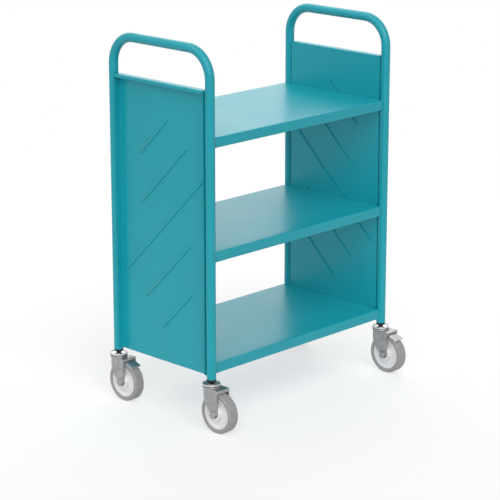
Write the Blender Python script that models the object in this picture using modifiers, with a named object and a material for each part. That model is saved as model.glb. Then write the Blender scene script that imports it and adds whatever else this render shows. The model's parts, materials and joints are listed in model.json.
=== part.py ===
"""Book trolley: two tube end frames, sheet end panels, three folded shelves and four swivel castors.

Run it with: blender --background --python part.py
Lengths are metres and +Z is up. The long side of the shelves lies along X and the front faces -Y.
The origin lies on the floor below the middle of the four wheels.
"""

import math

import bmesh
import bpy
from mathutils import Matrix, Vector

# Clearances
FIT = 0.0003  # between pieces that touch
RUN = 0.0006  # between pieces that turn past each other

# End frames: a round tube bent to an upside-down U, whose top is the push handle
TUBE_DIAMETER = 0.025
TUBE_WALL = 0.0015
FRAME_SPACING = 0.6725  # along X, between the centrelines of the two frames
FRAME_DEPTH = 0.358  # along Y, between the centrelines of a frame's uprights
BEND_RADIUS = 0.075
HANDLE_ABOVE_TOP_SHELF = 0.221  # handle centreline above the top shelf

# End panels: sheet trays that open outwards and sit between the uprights
PANEL_SHEET = 0.0012
PANEL_INSET = 0.009  # inner face, inboard of the tube centreline
PANEL_OUTER_REACH = 0.0116  # free edges of the folds, outboard of the tube centreline
PANEL_TUBE_GAP = 0.0012  # between a side fold and the upright
PANEL_CORNER_RELIEF = 0.003
PANEL_LIP_HEIGHT = 0.009
PANEL_FOLD_RADIUS = 0.0025
PANEL_FOOT_ABOVE_TUBE = 0.0035
PANEL_ABOVE_TOP_SHELF = 0.1205
STANDOFF_DIAMETER = 0.009  # welded pads that join a side fold to its upright
STANDOFF_END_DISTANCE = 0.060
STANDOFFS_PER_SIDE = 3

# Stiffening beads pressed in the panels at an even pitch, rising to the front at one angle
BEAD_ANGLE = math.radians(45)
BEAD_FOOT_DISTANCE = 0.1074  # lowest bead above the panel's foot, on its middle line
BEAD_TOP_DISTANCE = 0.112  # highest bead below the panel's top, on its middle line
BEAD_WIDTH = 0.0100
BEAD_HEIGHT = 0.0026
BEAD_DRAFT = 0.0008  # how much narrower the bead is at its crest, each side
# From the lowest bead up: its lower end from the panel's rear side, its upper end from the front side
BEAD_MARGINS = (
    (0.158, 0.068),
    (0.095, 0.070),
    (0.020, 0.0235),
    (0.080, 0.086),
    (0.080, 0.151),
)

# Shelves: folded sheet with turned-down edges
SHELF_SHEET = 0.0012
SHELF_OVERHANG = 0.0044  # front and rear edges, beyond the centreline of the uprights
SHELF_PITCH = 0.300
SHELF_EDGE_HEIGHT = 0.0274
SHELF_RETURN = 0.012  # inward hem below the front and rear edges
SHELF_FOLD_RADIUS = 0.0020
SHELF_TUBE_GAP = 0.0022  # between an edge's end and the upright's side
BOTTOM_SHELF_ABOVE_PANEL_FOOT = 0.0365
SHELF_NAMES = ("bottom_shelf", "middle_shelf", "top_shelf")

# Castor wheels
WHEEL_DIAMETER = 0.108
WHEEL_WIDTH = 0.031
TYRE_THICKNESS = 0.0115
TYRE_SIDEWALL = 0.0040  # sloping part of a tyre's side, next to the core
TYRE_SHOULDER_WIDTH = 0.0045
CORE_INSET = 0.0025  # face of the core's rim, inside the tyre's side
CORE_RIM_BAND = 0.0045
WEB_RECESS = 0.0045  # face of the core's web, below its rim
HUB_DIAMETER = 0.041
CASTOR_TRAIL = 0.030

# Castor forks: pressed steel with a round back and a flat crown
FORK_SHEET = 0.003
FORK_SIDE_GAP = 0.0045  # between the tyre and a fork leg
CROWN_CLEARANCE = 0.009  # between the tyre and the crown
LEG_FRONT = 0.0135  # front edge of a leg, ahead of the axle
LEG_BOSS_RADIUS = 0.0092  # round end of a leg, about the axle
LEG_TAPER = 0.030  # height above the axle where a leg's front edge starts to taper
FORK_BACK_DROP = 0.028  # how far the round back comes down below the crown
FORK_SHOULDER_RISE = 0.008  # where the sloping rear edge meets the leg, above the axle

# Swivel head: a dished cup, a ring of balls and a race pressed on the crown
BALL_DIAMETER = 0.0020
BALL_CIRCLE_DIAMETER = 0.0421
RACE_ANGLE = math.radians(25)
RACE_FLOOR = 0.0003  # height of the race above the crown, at its inner edge
RACE_INSET = 0.0015  # inner edge of the race, inside the ball circle
RACE_OVERHANG = 0.00245  # outer edge of the race, outside the ball circle
CUP_SHEET = 0.0025
CUP_FLOOR_INSET = 0.004  # edge of the cup's flat floor, inside the ball circle
CUP_OVERHANG = 0.00295  # rim of the cup, outside the ball circle
CUP_RIM_HEIGHT = 0.0047
CUP_RIM_WALL = 0.0022
KING_PIN_WALL = 0.0022
KING_PIN_FLANGE = 0.002
KING_PIN_FLANGE_WIDTH = 0.0035
KING_PIN_COLLAR = 0.0015
KING_PIN_COLLAR_WIDTH = 0.002

# Fasteners and tube plugs
BOLT_DIAMETER = 0.010
HEX_WIDTH = 0.017
HEX_HEIGHT = 0.0064
NECK_WALL = 0.00145
NECK_LENGTH = 0.00875
PLUG_FLANGE = 0.0034
PLUG_LENGTH = 0.040
PLUG_LEAD_LENGTH = 0.003  # taper at the plug's inner end
PLUG_LEAD_DEPTH = 0.001
STEM_ENGAGEMENT = 0.036  # length of the stem bolt inside the plug
SLEEVE_WALL = 0.0022

# Brakes: a pedal hinged under the crown presses a shoe on the tyre
PEDAL_SIDE_GAP = 0.003  # between the pedal and a fork leg
PEDAL_LIP_GAP = 0.00075  # between the pedal and the crown's front lip
PEDAL_SHEET = 0.002
PEDAL_REACH = 0.033  # from the pivot to the front edge
PEDAL_SLOPE = math.radians(22.8)
PEDAL_EDGE = 0.0038  # height of the turned-down front edge
PEDAL_STEP = 0.00025  # top face of the pedal, below the top of its knuckle
PEDAL_KNUCKLE_WALL = 0.0012
PIVOT_DIAMETER = 0.0038
PIVOT_BEHIND_FRONT = 0.0095  # from the fork's front edge
SHOE_SHEET = 0.0010
SHOE_LENGTH = 0.011
SHOE_SIDE_INSET = 0.004  # inside the pedal's side
SHOE_START = 0.015  # from the pivot, along the pedal
BRAKED_CASTORS = ("rear_left", "front_right")

# Facets
TUBE_SIDES = 16
BEND_STEPS = 6
WHEEL_SIDES = 24
HEAD_SIDES = 16
PIN_SIDES = 10
PAD_SIDES = 8
PLUG_SIDES = 12
ARC_STEPS = 8
TYRE_STEPS = 3
BALL_STEPS = 5
FOLD_STEPS = 2
FOLD_LIMIT = math.radians(40)  # sharper edges of a sheet are rounded as folds
SHARP_ANGLE = math.radians(35)  # sharper edges are shaded as edges
MERGE = 0.000001  # points nearer than this are one point

# Worked out from the sizes above
TUBE_RADIUS = TUBE_DIAMETER / 2
WHEEL_RADIUS = WHEEL_DIAMETER / 2
BOLT_RADIUS = BOLT_DIAMETER / 2
BALL_RADIUS = BALL_DIAMETER / 2
FORK_INNER = WHEEL_WIDTH / 2 + FORK_SIDE_GAP
FORK_OUTER = FORK_INNER + FORK_SHEET
FORK_FRONT = CASTOR_TRAIL + LEG_FRONT
CROWN_UNDERSIDE = WHEEL_DIAMETER + CROWN_CLEARANCE
CROWN_TOP = CROWN_UNDERSIDE + FORK_SHEET
KING_PIN_BORE = BOLT_RADIUS + FIT
KING_PIN_RADIUS = KING_PIN_BORE + KING_PIN_WALL
KING_PIN_HOLE = KING_PIN_RADIUS + FIT
SLEEVE_BORE = BOLT_RADIUS + FIT
SLEEVE_RADIUS = SLEEVE_BORE + SLEEVE_WALL
BALL_CIRCLE = BALL_CIRCLE_DIAMETER / 2
BALL_SEAT = (BALL_RADIUS + FIT) / math.cos(RACE_ANGLE)
BALL_HEIGHT = CROWN_TOP + RACE_FLOOR + RACE_INSET * math.tan(RACE_ANGLE) + BALL_SEAT


def race_height(radius, side):
    """Height of a ball race's cone at a radius, above (+1) or below (-1) the balls."""
    gap = RUN if side > 0 else FIT
    offset = (BALL_RADIUS + gap) / math.cos(RACE_ANGLE)
    return BALL_HEIGHT + (radius - BALL_CIRCLE) * math.tan(RACE_ANGLE) + side * offset


CUP_FLOOR_RADIUS = BALL_CIRCLE - CUP_FLOOR_INSET
CUP_RADIUS = BALL_CIRCLE + CUP_OVERHANG
CUP_RIM_INNER = CUP_RADIUS - CUP_RIM_WALL
CUP_FLOOR_UNDERSIDE = race_height(CUP_FLOOR_RADIUS, 1)
CUP_FLOOR_TOP = CUP_FLOOR_UNDERSIDE + CUP_SHEET
KING_PIN_TOP = CUP_FLOOR_TOP + FIT + KING_PIN_COLLAR
KING_PIN_FOOT = CROWN_UNDERSIDE - RUN - KING_PIN_FLANGE
PLUG_FLANGE_UNDERSIDE = KING_PIN_TOP + FIT + NECK_LENGTH
TUBE_FOOT = PLUG_FLANGE_UNDERSIDE + PLUG_FLANGE + FIT
PANEL_FOOT = TUBE_FOOT + PANEL_FOOT_ABOVE_TUBE
BOTTOM_SHELF_TOP = PANEL_FOOT + BOTTOM_SHELF_ABOVE_PANEL_FOOT
TOP_SHELF_TOP = BOTTOM_SHELF_TOP + SHELF_PITCH * (len(SHELF_NAMES) - 1)
PANEL_TOP = TOP_SHELF_TOP + PANEL_ABOVE_TOP_SHELF
HANDLE_HEIGHT = TOP_SHELF_TOP + HANDLE_ABOVE_TOP_SHELF
PANEL_HALF_WIDTH = FRAME_DEPTH / 2 - TUBE_RADIUS - PANEL_TUBE_GAP
PANEL_FOLD_DEPTH = PANEL_INSET + PANEL_OUTER_REACH
SHELF_HALF_LENGTH = FRAME_SPACING / 2 - PANEL_INSET - FIT
SHELF_EDGE_HALF_LENGTH = FRAME_SPACING / 2 - TUBE_RADIUS - SHELF_TUBE_GAP
SHELF_END_HALF_DEPTH = FRAME_DEPTH / 2 - TUBE_RADIUS - SHELF_TUBE_GAP
CORE_RADIUS = WHEEL_RADIUS - TYRE_THICKNESS
CORE_HALF_WIDTH = WHEEL_WIDTH / 2 - CORE_INSET
PEDAL_HALF_WIDTH = FORK_INNER - PEDAL_SIDE_GAP
PEDAL_KNUCKLE = PIVOT_DIAMETER / 2 + FIT + PEDAL_KNUCKLE_WALL
PEDAL_TOP = PEDAL_KNUCKLE - PEDAL_STEP  # top face of the pedal, above the pivot
PIVOT = Vector((0, PIVOT_BEHIND_FRONT - FORK_FRONT, CROWN_UNDERSIDE - RUN - PEDAL_KNUCKLE))
LIP_AHEAD = PIVOT_BEHIND_FRONT - FORK_SHEET  # inner face of the crown's lip, ahead of the pivot
LIP_DROP = LIP_AHEAD * math.sin(PEDAL_SLOPE) - PEDAL_TOP - PEDAL_LIP_GAP
FORK_LIP_FOOT = PIVOT.z - LIP_DROP / math.cos(PEDAL_SLOPE)
FRAME_Y = CASTOR_TRAIL  # the wheels trail to -Y, so the frame stands this far behind their middle

PAINT = ("teal_powder_coat", (0.047, 0.300, 0.350), 0.38, 0.0)
ZINC = ("bright_zinc", (0.60, 0.60, 0.61), 0.30, 1.0)
BLACK = ("black_plastic", (0.012, 0.012, 0.013), 0.45, 0.0)
CORE_WHITE = ("pale_grey_plastic", (0.68, 0.68, 0.68), 0.45, 0.0)
TYRE_GREY = ("grey_rubber", (0.27, 0.265, 0.27), 0.70, 0.0)
SHOE_GREY = ("dark_steel", (0.20, 0.20, 0.21), 0.50, 1.0)


def clear_scene():
    """Remove every object of the scene."""
    for obj in list(bpy.data.objects):
        bpy.data.objects.remove(obj, do_unlink=True)


def new_collection(name):
    """Add a collection to the scene."""
    collection = bpy.data.collections.new(name)
    bpy.context.scene.collection.children.link(collection)
    return collection


def finish_material(finish):
    """Return the Principled material of a finish, making it the first time."""
    name, colour, roughness, metallic = finish
    material = bpy.data.materials.get(name)
    if material is None:
        material = bpy.data.materials.new(name)
        material.use_nodes = True
        shader = material.node_tree.nodes["Principled BSDF"]
        shader.inputs["Base Color"].default_value = (*colour, 1)
        shader.inputs["Roughness"].default_value = roughness
        shader.inputs["Metallic"].default_value = metallic
        material.diffuse_color = (*colour, 1)
    return material


def baked(obj):
    """Turn an object with its modifiers into a mesh with no loose seams, and remove the object."""
    graph = bpy.context.evaluated_depsgraph_get()
    mesh = bpy.data.meshes.new_from_object(obj.evaluated_get(graph))
    mesh.name = obj.name
    bm = bmesh.new()
    bm.from_mesh(mesh)
    bmesh.ops.remove_doubles(bm, verts=bm.verts, dist=MERGE)
    bm.to_mesh(mesh)
    bm.free()
    bpy.data.objects.remove(obj, do_unlink=True)
    return mesh


def draft_object(name, data):
    """Link a working object to the scene, for its modifiers to be read."""
    obj = bpy.data.objects.new(name, data)
    bpy.context.scene.collection.objects.link(obj)
    return obj


def mesh_from(name, bm):
    """Write a bmesh to a new mesh and free it."""
    mesh = bpy.data.meshes.new(name)
    bm.to_mesh(mesh)
    bm.free()
    return mesh


def moved(mesh, matrix):
    """Transform a mesh in place and return it."""
    mesh.transform(matrix)
    return mesh


def along_x(mesh):
    """Turn a mesh that was made about Z so that its +Z end points to +X."""
    return moved(mesh, Matrix.Rotation(math.pi / 2, 4, "Y"))


def arc(centre, radius, start, end, steps=ARC_STEPS):
    """Points of an arc in a plane, with its angles in radians."""
    turns = [start + (end - start) * i / steps for i in range(steps + 1)]
    return [(centre[0] + radius * math.cos(a), centre[1] + radius * math.sin(a)) for a in turns]


def turned(name, profile, sides):
    """Spin a closed (radius, height) profile about Z. It runs down its outer side and up its bore."""
    bm = bmesh.new()
    verts = [bm.verts.new((radius, 0, height)) for radius, height in profile]
    for pair in zip(verts, verts[1:] + verts[:1]):
        bm.edges.new(pair)
    obj = draft_object(name, mesh_from(name, bm))
    screw = obj.modifiers.new("Spin", "SCREW")
    screw.steps = sides
    screw.render_steps = sides
    screw.use_merge_vertices = True
    screw.merge_threshold = MERGE
    return baked(obj)


def prism(name, outline, low, high):
    """Fill a closed outline in XY and extrude it from one height to another."""
    curve = bpy.data.curves.new(name, "CURVE")
    curve.dimensions = "2D"
    curve.fill_mode = "BOTH"
    curve.extrude = (high - low) / 2
    spline = curve.splines.new("POLY")
    spline.points.add(len(outline) - 1)
    for point, (x, y) in zip(spline.points, outline):
        point.co = (x, y, 0, 1)
    spline.use_cyclic_u = True
    mesh = baked(draft_object(name, curve))
    return moved(mesh, Matrix.Translation((0, 0, (high + low) / 2)))


def side_prism(name, outline, half_width):
    """Extrude a closed (y, z) outline along X, to the same distance on both sides."""
    mesh = prism(name, outline, -half_width, half_width)
    return moved(mesh, Matrix(((0, 0, 1, 0), (1, 0, 0, 0), (0, 1, 0, 0), (0, 0, 0, 1))))


def cylinder(name, radius, low, high, sides=PIN_SIDES):
    """Make a plain cylinder on Z."""
    bm = bmesh.new()
    bmesh.ops.create_cone(
        bm, cap_ends=True, segments=sides, radius1=radius, radius2=radius, depth=high - low
    )
    return moved(mesh_from(name, bm), Matrix.Translation((0, 0, (high + low) / 2)))


def hole(name, radius, low, high, sides=PIN_SIDES):
    """Make a cutter on Z whose flats lie at the radius."""
    return cylinder(name, radius / math.cos(math.pi / sides), low, high, sides)


def combined(name, mesh, steps, cutters):
    """Apply Boolean steps, given as (operation, mesh), to a mesh."""
    obj = draft_object(name, mesh)
    for index, (operation, other) in enumerate(steps):
        tool = bpy.data.objects.new(f"{name}_tool_{index}", other)
        tool.hide_render = True
        tool.display_type = "WIRE"
        cutters.objects.link(tool)
        step = obj.modifiers.new(f"Step {index}", "BOOLEAN")
        step.operation = operation
        step.solver = "EXACT"
        step.object = tool
    bpy.context.view_layer.update()
    return baked(obj)


def frame_tube():
    """One end frame: an open tube along a U with two round bends, centred on its own plane."""
    half = FRAME_DEPTH / 2
    bend_y = half - BEND_RADIUS
    bend_z = HANDLE_HEIGHT - BEND_RADIUS
    rear_bend = arc((bend_y, bend_z), BEND_RADIUS, 0, math.pi / 2, BEND_STEPS)
    front_bend = arc((-bend_y, bend_z), BEND_RADIUS, math.pi / 2, math.pi, BEND_STEPS)
    path = [(half, TUBE_FOOT), *rear_bend, *front_bend, (-half, TUBE_FOOT)]
    curve = bpy.data.curves.new("end_frame", "CURVE")
    curve.dimensions = "3D"
    curve.bevel_depth = TUBE_RADIUS
    curve.bevel_resolution = TUBE_SIDES // 2 - 2
    spline = curve.splines.new("POLY")
    spline.points.add(len(path) - 1)
    for point, (y, z) in zip(spline.points, path):
        point.co = (0, y, z, 1)
    obj = draft_object("end_frame", curve)
    wall = obj.modifiers.new("Wall", "SOLIDIFY")
    wall.thickness = TUBE_WALL
    wall.offset = -1
    return baked(obj)


def folded_sheet(name, bm, sheet, fold_radius):
    """Round a folded surface at its folds and give it the thickness of the sheet, inwards."""
    bmesh.ops.recalc_face_normals(bm, faces=bm.faces)
    obj = draft_object(name, mesh_from(name, bm))
    fold = obj.modifiers.new("Fold", "BEVEL")
    fold.width = fold_radius
    fold.segments = FOLD_STEPS
    fold.limit_method = "ANGLE"
    fold.angle_limit = FOLD_LIMIT
    wall = obj.modifiers.new("Sheet", "SOLIDIFY")
    wall.thickness = sheet
    wall.offset = -1
    wall.use_even_offset = True
    return baked(obj)


def notched_grid(columns, rows, dropped):
    """A flat grid in XY with the given lines and without the cells (column, row) that are dropped."""
    spans = (len(columns) - 1, len(rows) - 1)
    bm = bmesh.new()
    bmesh.ops.create_grid(bm, x_segments=spans[0], y_segments=spans[1], size=0.5)

    def cell(point):
        return tuple((point[axis] + 0.5) * spans[axis] for axis in (0, 1))

    cells = {face: tuple(int(line) for line in cell(face.calc_center_median())) for face in bm.faces}
    bmesh.ops.delete(bm, geom=[face for face in cells if cells[face] in dropped], context="FACES")
    for vert in bm.verts:
        column, row = (round(line) for line in cell(vert.co))
        vert.co = (columns[column], rows[row], 0)
    return bm


def fold_edges(bm, edges, step):
    """Extrude open edges by a step, as a fold of the sheet, and return the new outer edges."""
    made = bmesh.ops.extrude_edge_only(bm, edges=edges)["geom"]
    verts = [item for item in made if isinstance(item, bmesh.types.BMVert)]
    bmesh.ops.translate(bm, verts=verts, vec=step)
    return [e for e in made if isinstance(e, bmesh.types.BMEdge) and e.is_boundary
            and all(v in verts for v in e.verts)]


def open_edges(bm, axis, place):
    """Boundary edges whose two ends lie at a place on an axis."""
    return [e for e in bm.edges if e.is_boundary and all(abs(v.co[axis] - place) < MERGE for v in e.verts)]


def shelf():
    """A shelf with its top at z = 0: hemmed front and rear edges, plain end edges, corners notched."""
    half_depth = FRAME_DEPTH / 2 + SHELF_OVERHANG
    columns = (-SHELF_HALF_LENGTH, -SHELF_EDGE_HALF_LENGTH, SHELF_EDGE_HALF_LENGTH, SHELF_HALF_LENGTH)
    rows = (-half_depth, -SHELF_END_HALF_DEPTH, SHELF_END_HALF_DEPTH, half_depth)
    bm = notched_grid(columns, rows, {(0, 0), (2, 0), (0, 2), (2, 2)})
    down = Vector((0, 0, -SHELF_EDGE_HEIGHT))
    for side in (-1, 1):
        edge = fold_edges(bm, open_edges(bm, 1, side * half_depth), down)
        fold_edges(bm, edge, Vector((0, -side * SHELF_RETURN, 0)))
        fold_edges(bm, open_edges(bm, 0, side * SHELF_HALF_LENGTH), down)
    return folded_sheet("shelf", bm, SHELF_SHEET, SHELF_FOLD_RADIUS)


def bead(name, lower_end, length, base_height, crest_height, spread):
    """A pressed bead in the panel's plane: a round-ended ridge with sloping sides, rising along -Y."""
    bm = bmesh.new()
    bmesh.ops.create_cone(
        bm, cap_ends=True, segments=PAD_SIDES, depth=crest_height - base_height,
        radius1=BEAD_WIDTH / 2 + spread, radius2=BEAD_WIDTH / 2 - BEAD_DRAFT + spread,
    )
    bmesh.ops.translate(bm, verts=bm.verts, vec=(0, 0, (crest_height + base_height) / 2))
    far_half = [v for v in bm.verts if v.co.x > MERGE]
    bmesh.ops.translate(bm, verts=far_half, vec=(length, 0, 0))
    # Local X runs up the bead and local Z points out of the panel, to -X
    along = Vector((0, -math.cos(BEAD_ANGLE), math.sin(BEAD_ANGLE)))
    out = Vector((-1, 0, 0))
    across = out.cross(along)
    matrix = Matrix((along, across, out)).transposed().to_4x4()
    matrix.translation = Vector((0, lower_end[0], lower_end[1]))
    return moved(mesh_from(name, bm), matrix)


def end_panel(cutters):
    """The left end panel: its inner face at x = 0, its foot at z = 0 and its folds towards -X."""
    height = PANEL_TOP - PANEL_FOOT
    half = PANEL_HALF_WIDTH
    relief = half - PANEL_CORNER_RELIEF
    levels = (0, height - PANEL_CORNER_RELIEF, height)
    bm = notched_grid(levels, (-half, -relief, relief, half), {(1, 0), (1, 2)})
    # The grid's X becomes height and its Y stays
    bmesh.ops.rotate(bm, verts=bm.verts, matrix=Matrix.Rotation(-math.pi / 2, 3, "Y"))
    out = Vector((-PANEL_FOLD_DEPTH, 0, 0))
    for side in (-1, 1):
        fold_edges(bm, open_edges(bm, 1, side * half), out)
    lip = fold_edges(bm, open_edges(bm, 2, height), out)
    fold_edges(bm, lip, Vector((0, 0, -PANEL_LIP_HEIGHT)))
    sheet = folded_sheet("end_panel", bm, PANEL_SHEET, PANEL_FOLD_RADIUS)
    steps = []
    bead_pitch = (height - BEAD_FOOT_DISTANCE - BEAD_TOP_DISTANCE) / (len(BEAD_MARGINS) - 1)
    for index, (rear_margin, front_margin) in enumerate(BEAD_MARGINS):
        rear = half - rear_margin
        middle_height = BEAD_FOOT_DISTANCE + index * bead_pitch
        end = (rear, middle_height - rear * math.tan(BEAD_ANGLE))
        length = (2 * half - rear_margin - front_margin) / math.cos(BEAD_ANGLE)
        ridge = bead("bead", end, length, PANEL_SHEET / 2, PANEL_SHEET + BEAD_HEIGHT, 0)
        groove = bead("groove", end, length, -PANEL_SHEET / 2, BEAD_HEIGHT, -BEAD_DRAFT / 2)
        steps.append(("UNION", ridge))
        steps.append(("DIFFERENCE", groove))
    pad_reach = PANEL_TUBE_GAP - FIT
    pad_pitch = (height - 2 * STANDOFF_END_DISTANCE) / (STANDOFFS_PER_SIDE - 1)
    for side in (-1, 1):
        for index in range(STANDOFFS_PER_SIDE):
            pad = cylinder("standoff", STANDOFF_DIAMETER / 2, -PANEL_SHEET / 2, pad_reach, PAD_SIDES)
            turn = Matrix.Rotation(-side * math.pi / 2, 4, "X")
            seat = Matrix.Translation((-PANEL_INSET, side * half, STANDOFF_END_DISTANCE + index * pad_pitch))
            steps.append(("UNION", moved(pad, seat @ turn)))
    return combined("end_panel", sheet, steps, cutters)


def hex_prism(name, low, high):
    """A hexagon across flats on Z."""
    return cylinder(name, HEX_WIDTH / 2 / math.cos(math.pi / 6), low, high, 6)


def bolt(name, shank_length, cutters):
    """A hex bolt on Z with its head below z = 0."""
    shank = cylinder(f"{name}_shank", BOLT_RADIUS, -HEX_HEIGHT / 2, shank_length)
    return combined(name, hex_prism(name, -HEX_HEIGHT, 0), [("UNION", shank)], cutters)


def nut(name, cutters):
    """A hex nut on Z, from z = 0 up."""
    bore = hole(f"{name}_bore", BOLT_RADIUS + FIT, -HEX_HEIGHT, 2 * HEX_HEIGHT)
    return combined(name, hex_prism(name, 0, HEX_HEIGHT), [("DIFFERENCE", bore)], cutters)


def tube_plug():
    """The plastic plug in an upright's foot, with its flange, its neck and the bore for the stem."""
    bore = BOLT_RADIUS + FIT
    neck = bore + NECK_WALL
    spigot = TUBE_RADIUS - TUBE_WALL - FIT
    top = TUBE_FOOT + PLUG_LENGTH
    profile = [
        (spigot - PLUG_LEAD_DEPTH, top),
        (spigot, top - PLUG_LEAD_LENGTH),
        (spigot, TUBE_FOOT - FIT),
        (TUBE_RADIUS, TUBE_FOOT - FIT),
        (TUBE_RADIUS, PLUG_FLANGE_UNDERSIDE),
        (neck, PLUG_FLANGE_UNDERSIDE),
        (neck, PLUG_FLANGE_UNDERSIDE - NECK_LENGTH),
        (bore, PLUG_FLANGE_UNDERSIDE - NECK_LENGTH),
        (bore, top),
    ]
    return turned("tube_plug", profile, PLUG_SIDES)


def swivel_cup():
    """The fixed upper half of the swivel head: a dish with a standing rim over a coned race."""
    rim_foot = race_height(CUP_RIM_INNER, 1)
    rise = CUP_SHEET / math.cos(RACE_ANGLE)
    floor_edge = CUP_FLOOR_RADIUS - (rise - CUP_SHEET) / math.tan(RACE_ANGLE)
    profile = [
        (CUP_RIM_INNER, rim_foot + CUP_RIM_HEIGHT),
        (CUP_RADIUS, rim_foot + CUP_RIM_HEIGHT),
        (CUP_RADIUS, rim_foot),
        (CUP_RIM_INNER, rim_foot),
        (CUP_FLOOR_RADIUS, CUP_FLOOR_UNDERSIDE),
        (KING_PIN_HOLE, CUP_FLOOR_UNDERSIDE),
        (KING_PIN_HOLE, CUP_FLOOR_TOP),
        (floor_edge, CUP_FLOOR_TOP),
        (CUP_RIM_INNER, rim_foot + rise),
    ]
    return turned("swivel_cup", profile, HEAD_SIDES)


def ball_ring():
    """The ring of balls between the two races, as the ring that they fill."""
    section = arc((BALL_CIRCLE, BALL_HEIGHT), BALL_RADIUS, math.pi / 2, -3 * math.pi / 2, BALL_STEPS)
    return turned("ball_ring", section[:-1], HEAD_SIDES)


def king_pin():
    """The hollow rivet that holds the fork under the cup."""
    collar = KING_PIN_RADIUS + KING_PIN_COLLAR_WIDTH
    flange = KING_PIN_RADIUS + KING_PIN_FLANGE_WIDTH
    profile = [
        (collar, KING_PIN_TOP),
        (collar, KING_PIN_TOP - KING_PIN_COLLAR),
        (KING_PIN_RADIUS, KING_PIN_TOP - KING_PIN_COLLAR),
        (KING_PIN_RADIUS, KING_PIN_FOOT + KING_PIN_FLANGE),
        (flange, KING_PIN_FOOT + KING_PIN_FLANGE),
        (flange, KING_PIN_FOOT),
        (KING_PIN_BORE, KING_PIN_FOOT),
        (KING_PIN_BORE, KING_PIN_TOP),
    ]
    return turned("king_pin", profile, PIN_SIDES)


def fork_plan(half_width, front):
    """Outline of the fork seen from above: round at the back, square at the front."""
    return [*arc((0, 0), half_width, 0, math.pi), (-half_width, -front), (half_width, -front)]


def fork(braked, cutters):
    """A pressed fork: crown, round back, two legs with round ends, front lip and lower ball race."""
    name = "braked_fork" if braked else "fork"
    axle = (-CASTOR_TRAIL, WHEEL_RADIUS)
    beyond = 2 * FORK_SHEET
    back_foot = CROWN_TOP - FORK_BACK_DROP
    taper_top = WHEEL_RADIUS + LEG_TAPER
    side_outline = [
        (FORK_OUTER + beyond, CROWN_TOP + beyond),
        (FORK_OUTER + beyond, back_foot),
        (FORK_OUTER, back_foot),
        (LEG_BOSS_RADIUS - CASTOR_TRAIL, WHEEL_RADIUS + FORK_SHOULDER_RISE),
        *arc(axle, LEG_BOSS_RADIUS, 0, -math.pi),
        (-FORK_FRONT, taper_top),
        (-FORK_FRONT - beyond, taper_top),
        (-FORK_FRONT - beyond, CROWN_TOP + beyond),
    ]
    low = WHEEL_RADIUS - LEG_BOSS_RADIUS - beyond
    solid = prism(name, fork_plan(FORK_OUTER, FORK_FRONT), low, CROWN_TOP)
    side = side_prism("fork_side", side_outline, FORK_OUTER + beyond)
    inner_plan = fork_plan(FORK_INNER, FORK_FRONT - FORK_SHEET)
    hollow = prism("fork_hollow", inner_plan, low - beyond, CROWN_UNDERSIDE)
    mouth_outline = [
        (FORK_INNER, -FORK_FRONT / 2),
        (-FORK_INNER, -FORK_FRONT / 2),
        (-FORK_INNER, -FORK_FRONT - beyond),
        (FORK_INNER, -FORK_FRONT - beyond),
    ]
    mouth = prism("fork_mouth", mouth_outline, low - beyond, FORK_LIP_FOOT)
    race_outer = BALL_CIRCLE + RACE_OVERHANG
    race_inner = BALL_CIRCLE - RACE_INSET
    race_profile = [
        (race_outer, race_height(race_outer, -1)),
        (race_outer, CROWN_TOP - FORK_SHEET / 2),
        (race_inner, CROWN_TOP - FORK_SHEET / 2),
        (race_inner, race_height(race_inner, -1)),
    ]
    race = turned("fork_race", race_profile, HEAD_SIDES)
    pin_hole = hole("fork_pin_hole", KING_PIN_HOLE, CROWN_UNDERSIDE - beyond, CROWN_TOP + beyond)
    across = FORK_OUTER + beyond
    axle_hole = along_x(hole("fork_axle_hole", BOLT_RADIUS + FIT, -across, across))
    moved(axle_hole, Matrix.Translation((0, *axle)))
    steps = [
        ("INTERSECT", side),
        ("DIFFERENCE", hollow),
        ("DIFFERENCE", mouth),
        ("UNION", race),
        ("DIFFERENCE", pin_hole),
        ("DIFFERENCE", axle_hole),
    ]
    if braked:
        pivot_hole = along_x(hole("fork_pivot_hole", PIVOT_DIAMETER / 2 + FIT, -across, across))
        steps.append(("DIFFERENCE", moved(pivot_hole, Matrix.Translation(PIVOT))))
    return combined(name, solid, steps, cutters)


def wheel_core():
    """The plastic wheel body on X: rim, web and raised hub, with a bore for the sleeve."""
    band = CORE_RADIUS - CORE_RIM_BAND
    hub = HUB_DIAMETER / 2
    bore = SLEEVE_RADIUS + FIT
    web = CORE_HALF_WIDTH - WEB_RECESS
    half_hub = FORK_INNER - RUN
    half = [
        (CORE_RADIUS, CORE_HALF_WIDTH),
        (band, CORE_HALF_WIDTH),
        (band - WEB_RECESS, web),
        (hub, web),
        (hub - WEB_RECESS / 2, half_hub),
        (bore, half_hub),
    ]
    upper = [(radius, height) for radius, height in reversed(half)]
    lower = [(radius, -height) for radius, height in half]
    return along_x(turned("wheel_core", upper + lower, WHEEL_SIDES))


def tyre():
    """The rubber tyre on X, with sloping sidewalls and rounded shoulders."""
    seat = CORE_RADIUS + FIT
    shoulder_radius = seat + TYRE_SIDEWALL
    shoulder_height = WHEEL_RADIUS - shoulder_radius
    tread = WHEEL_WIDTH / 2 - TYRE_SHOULDER_WIDTH
    round_off = arc((0, 0), 1, 0, math.pi / 2, TYRE_STEPS)
    upper = [
        (shoulder_radius + shoulder_height * rise, tread + TYRE_SHOULDER_WIDTH * side)
        for side, rise in round_off
    ]
    lower = [(radius, -height) for radius, height in reversed(upper)]
    inner = [(seat, -CORE_HALF_WIDTH), (seat, CORE_HALF_WIDTH)]
    return along_x(turned("tyre", upper + lower + inner, WHEEL_SIDES))


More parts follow.
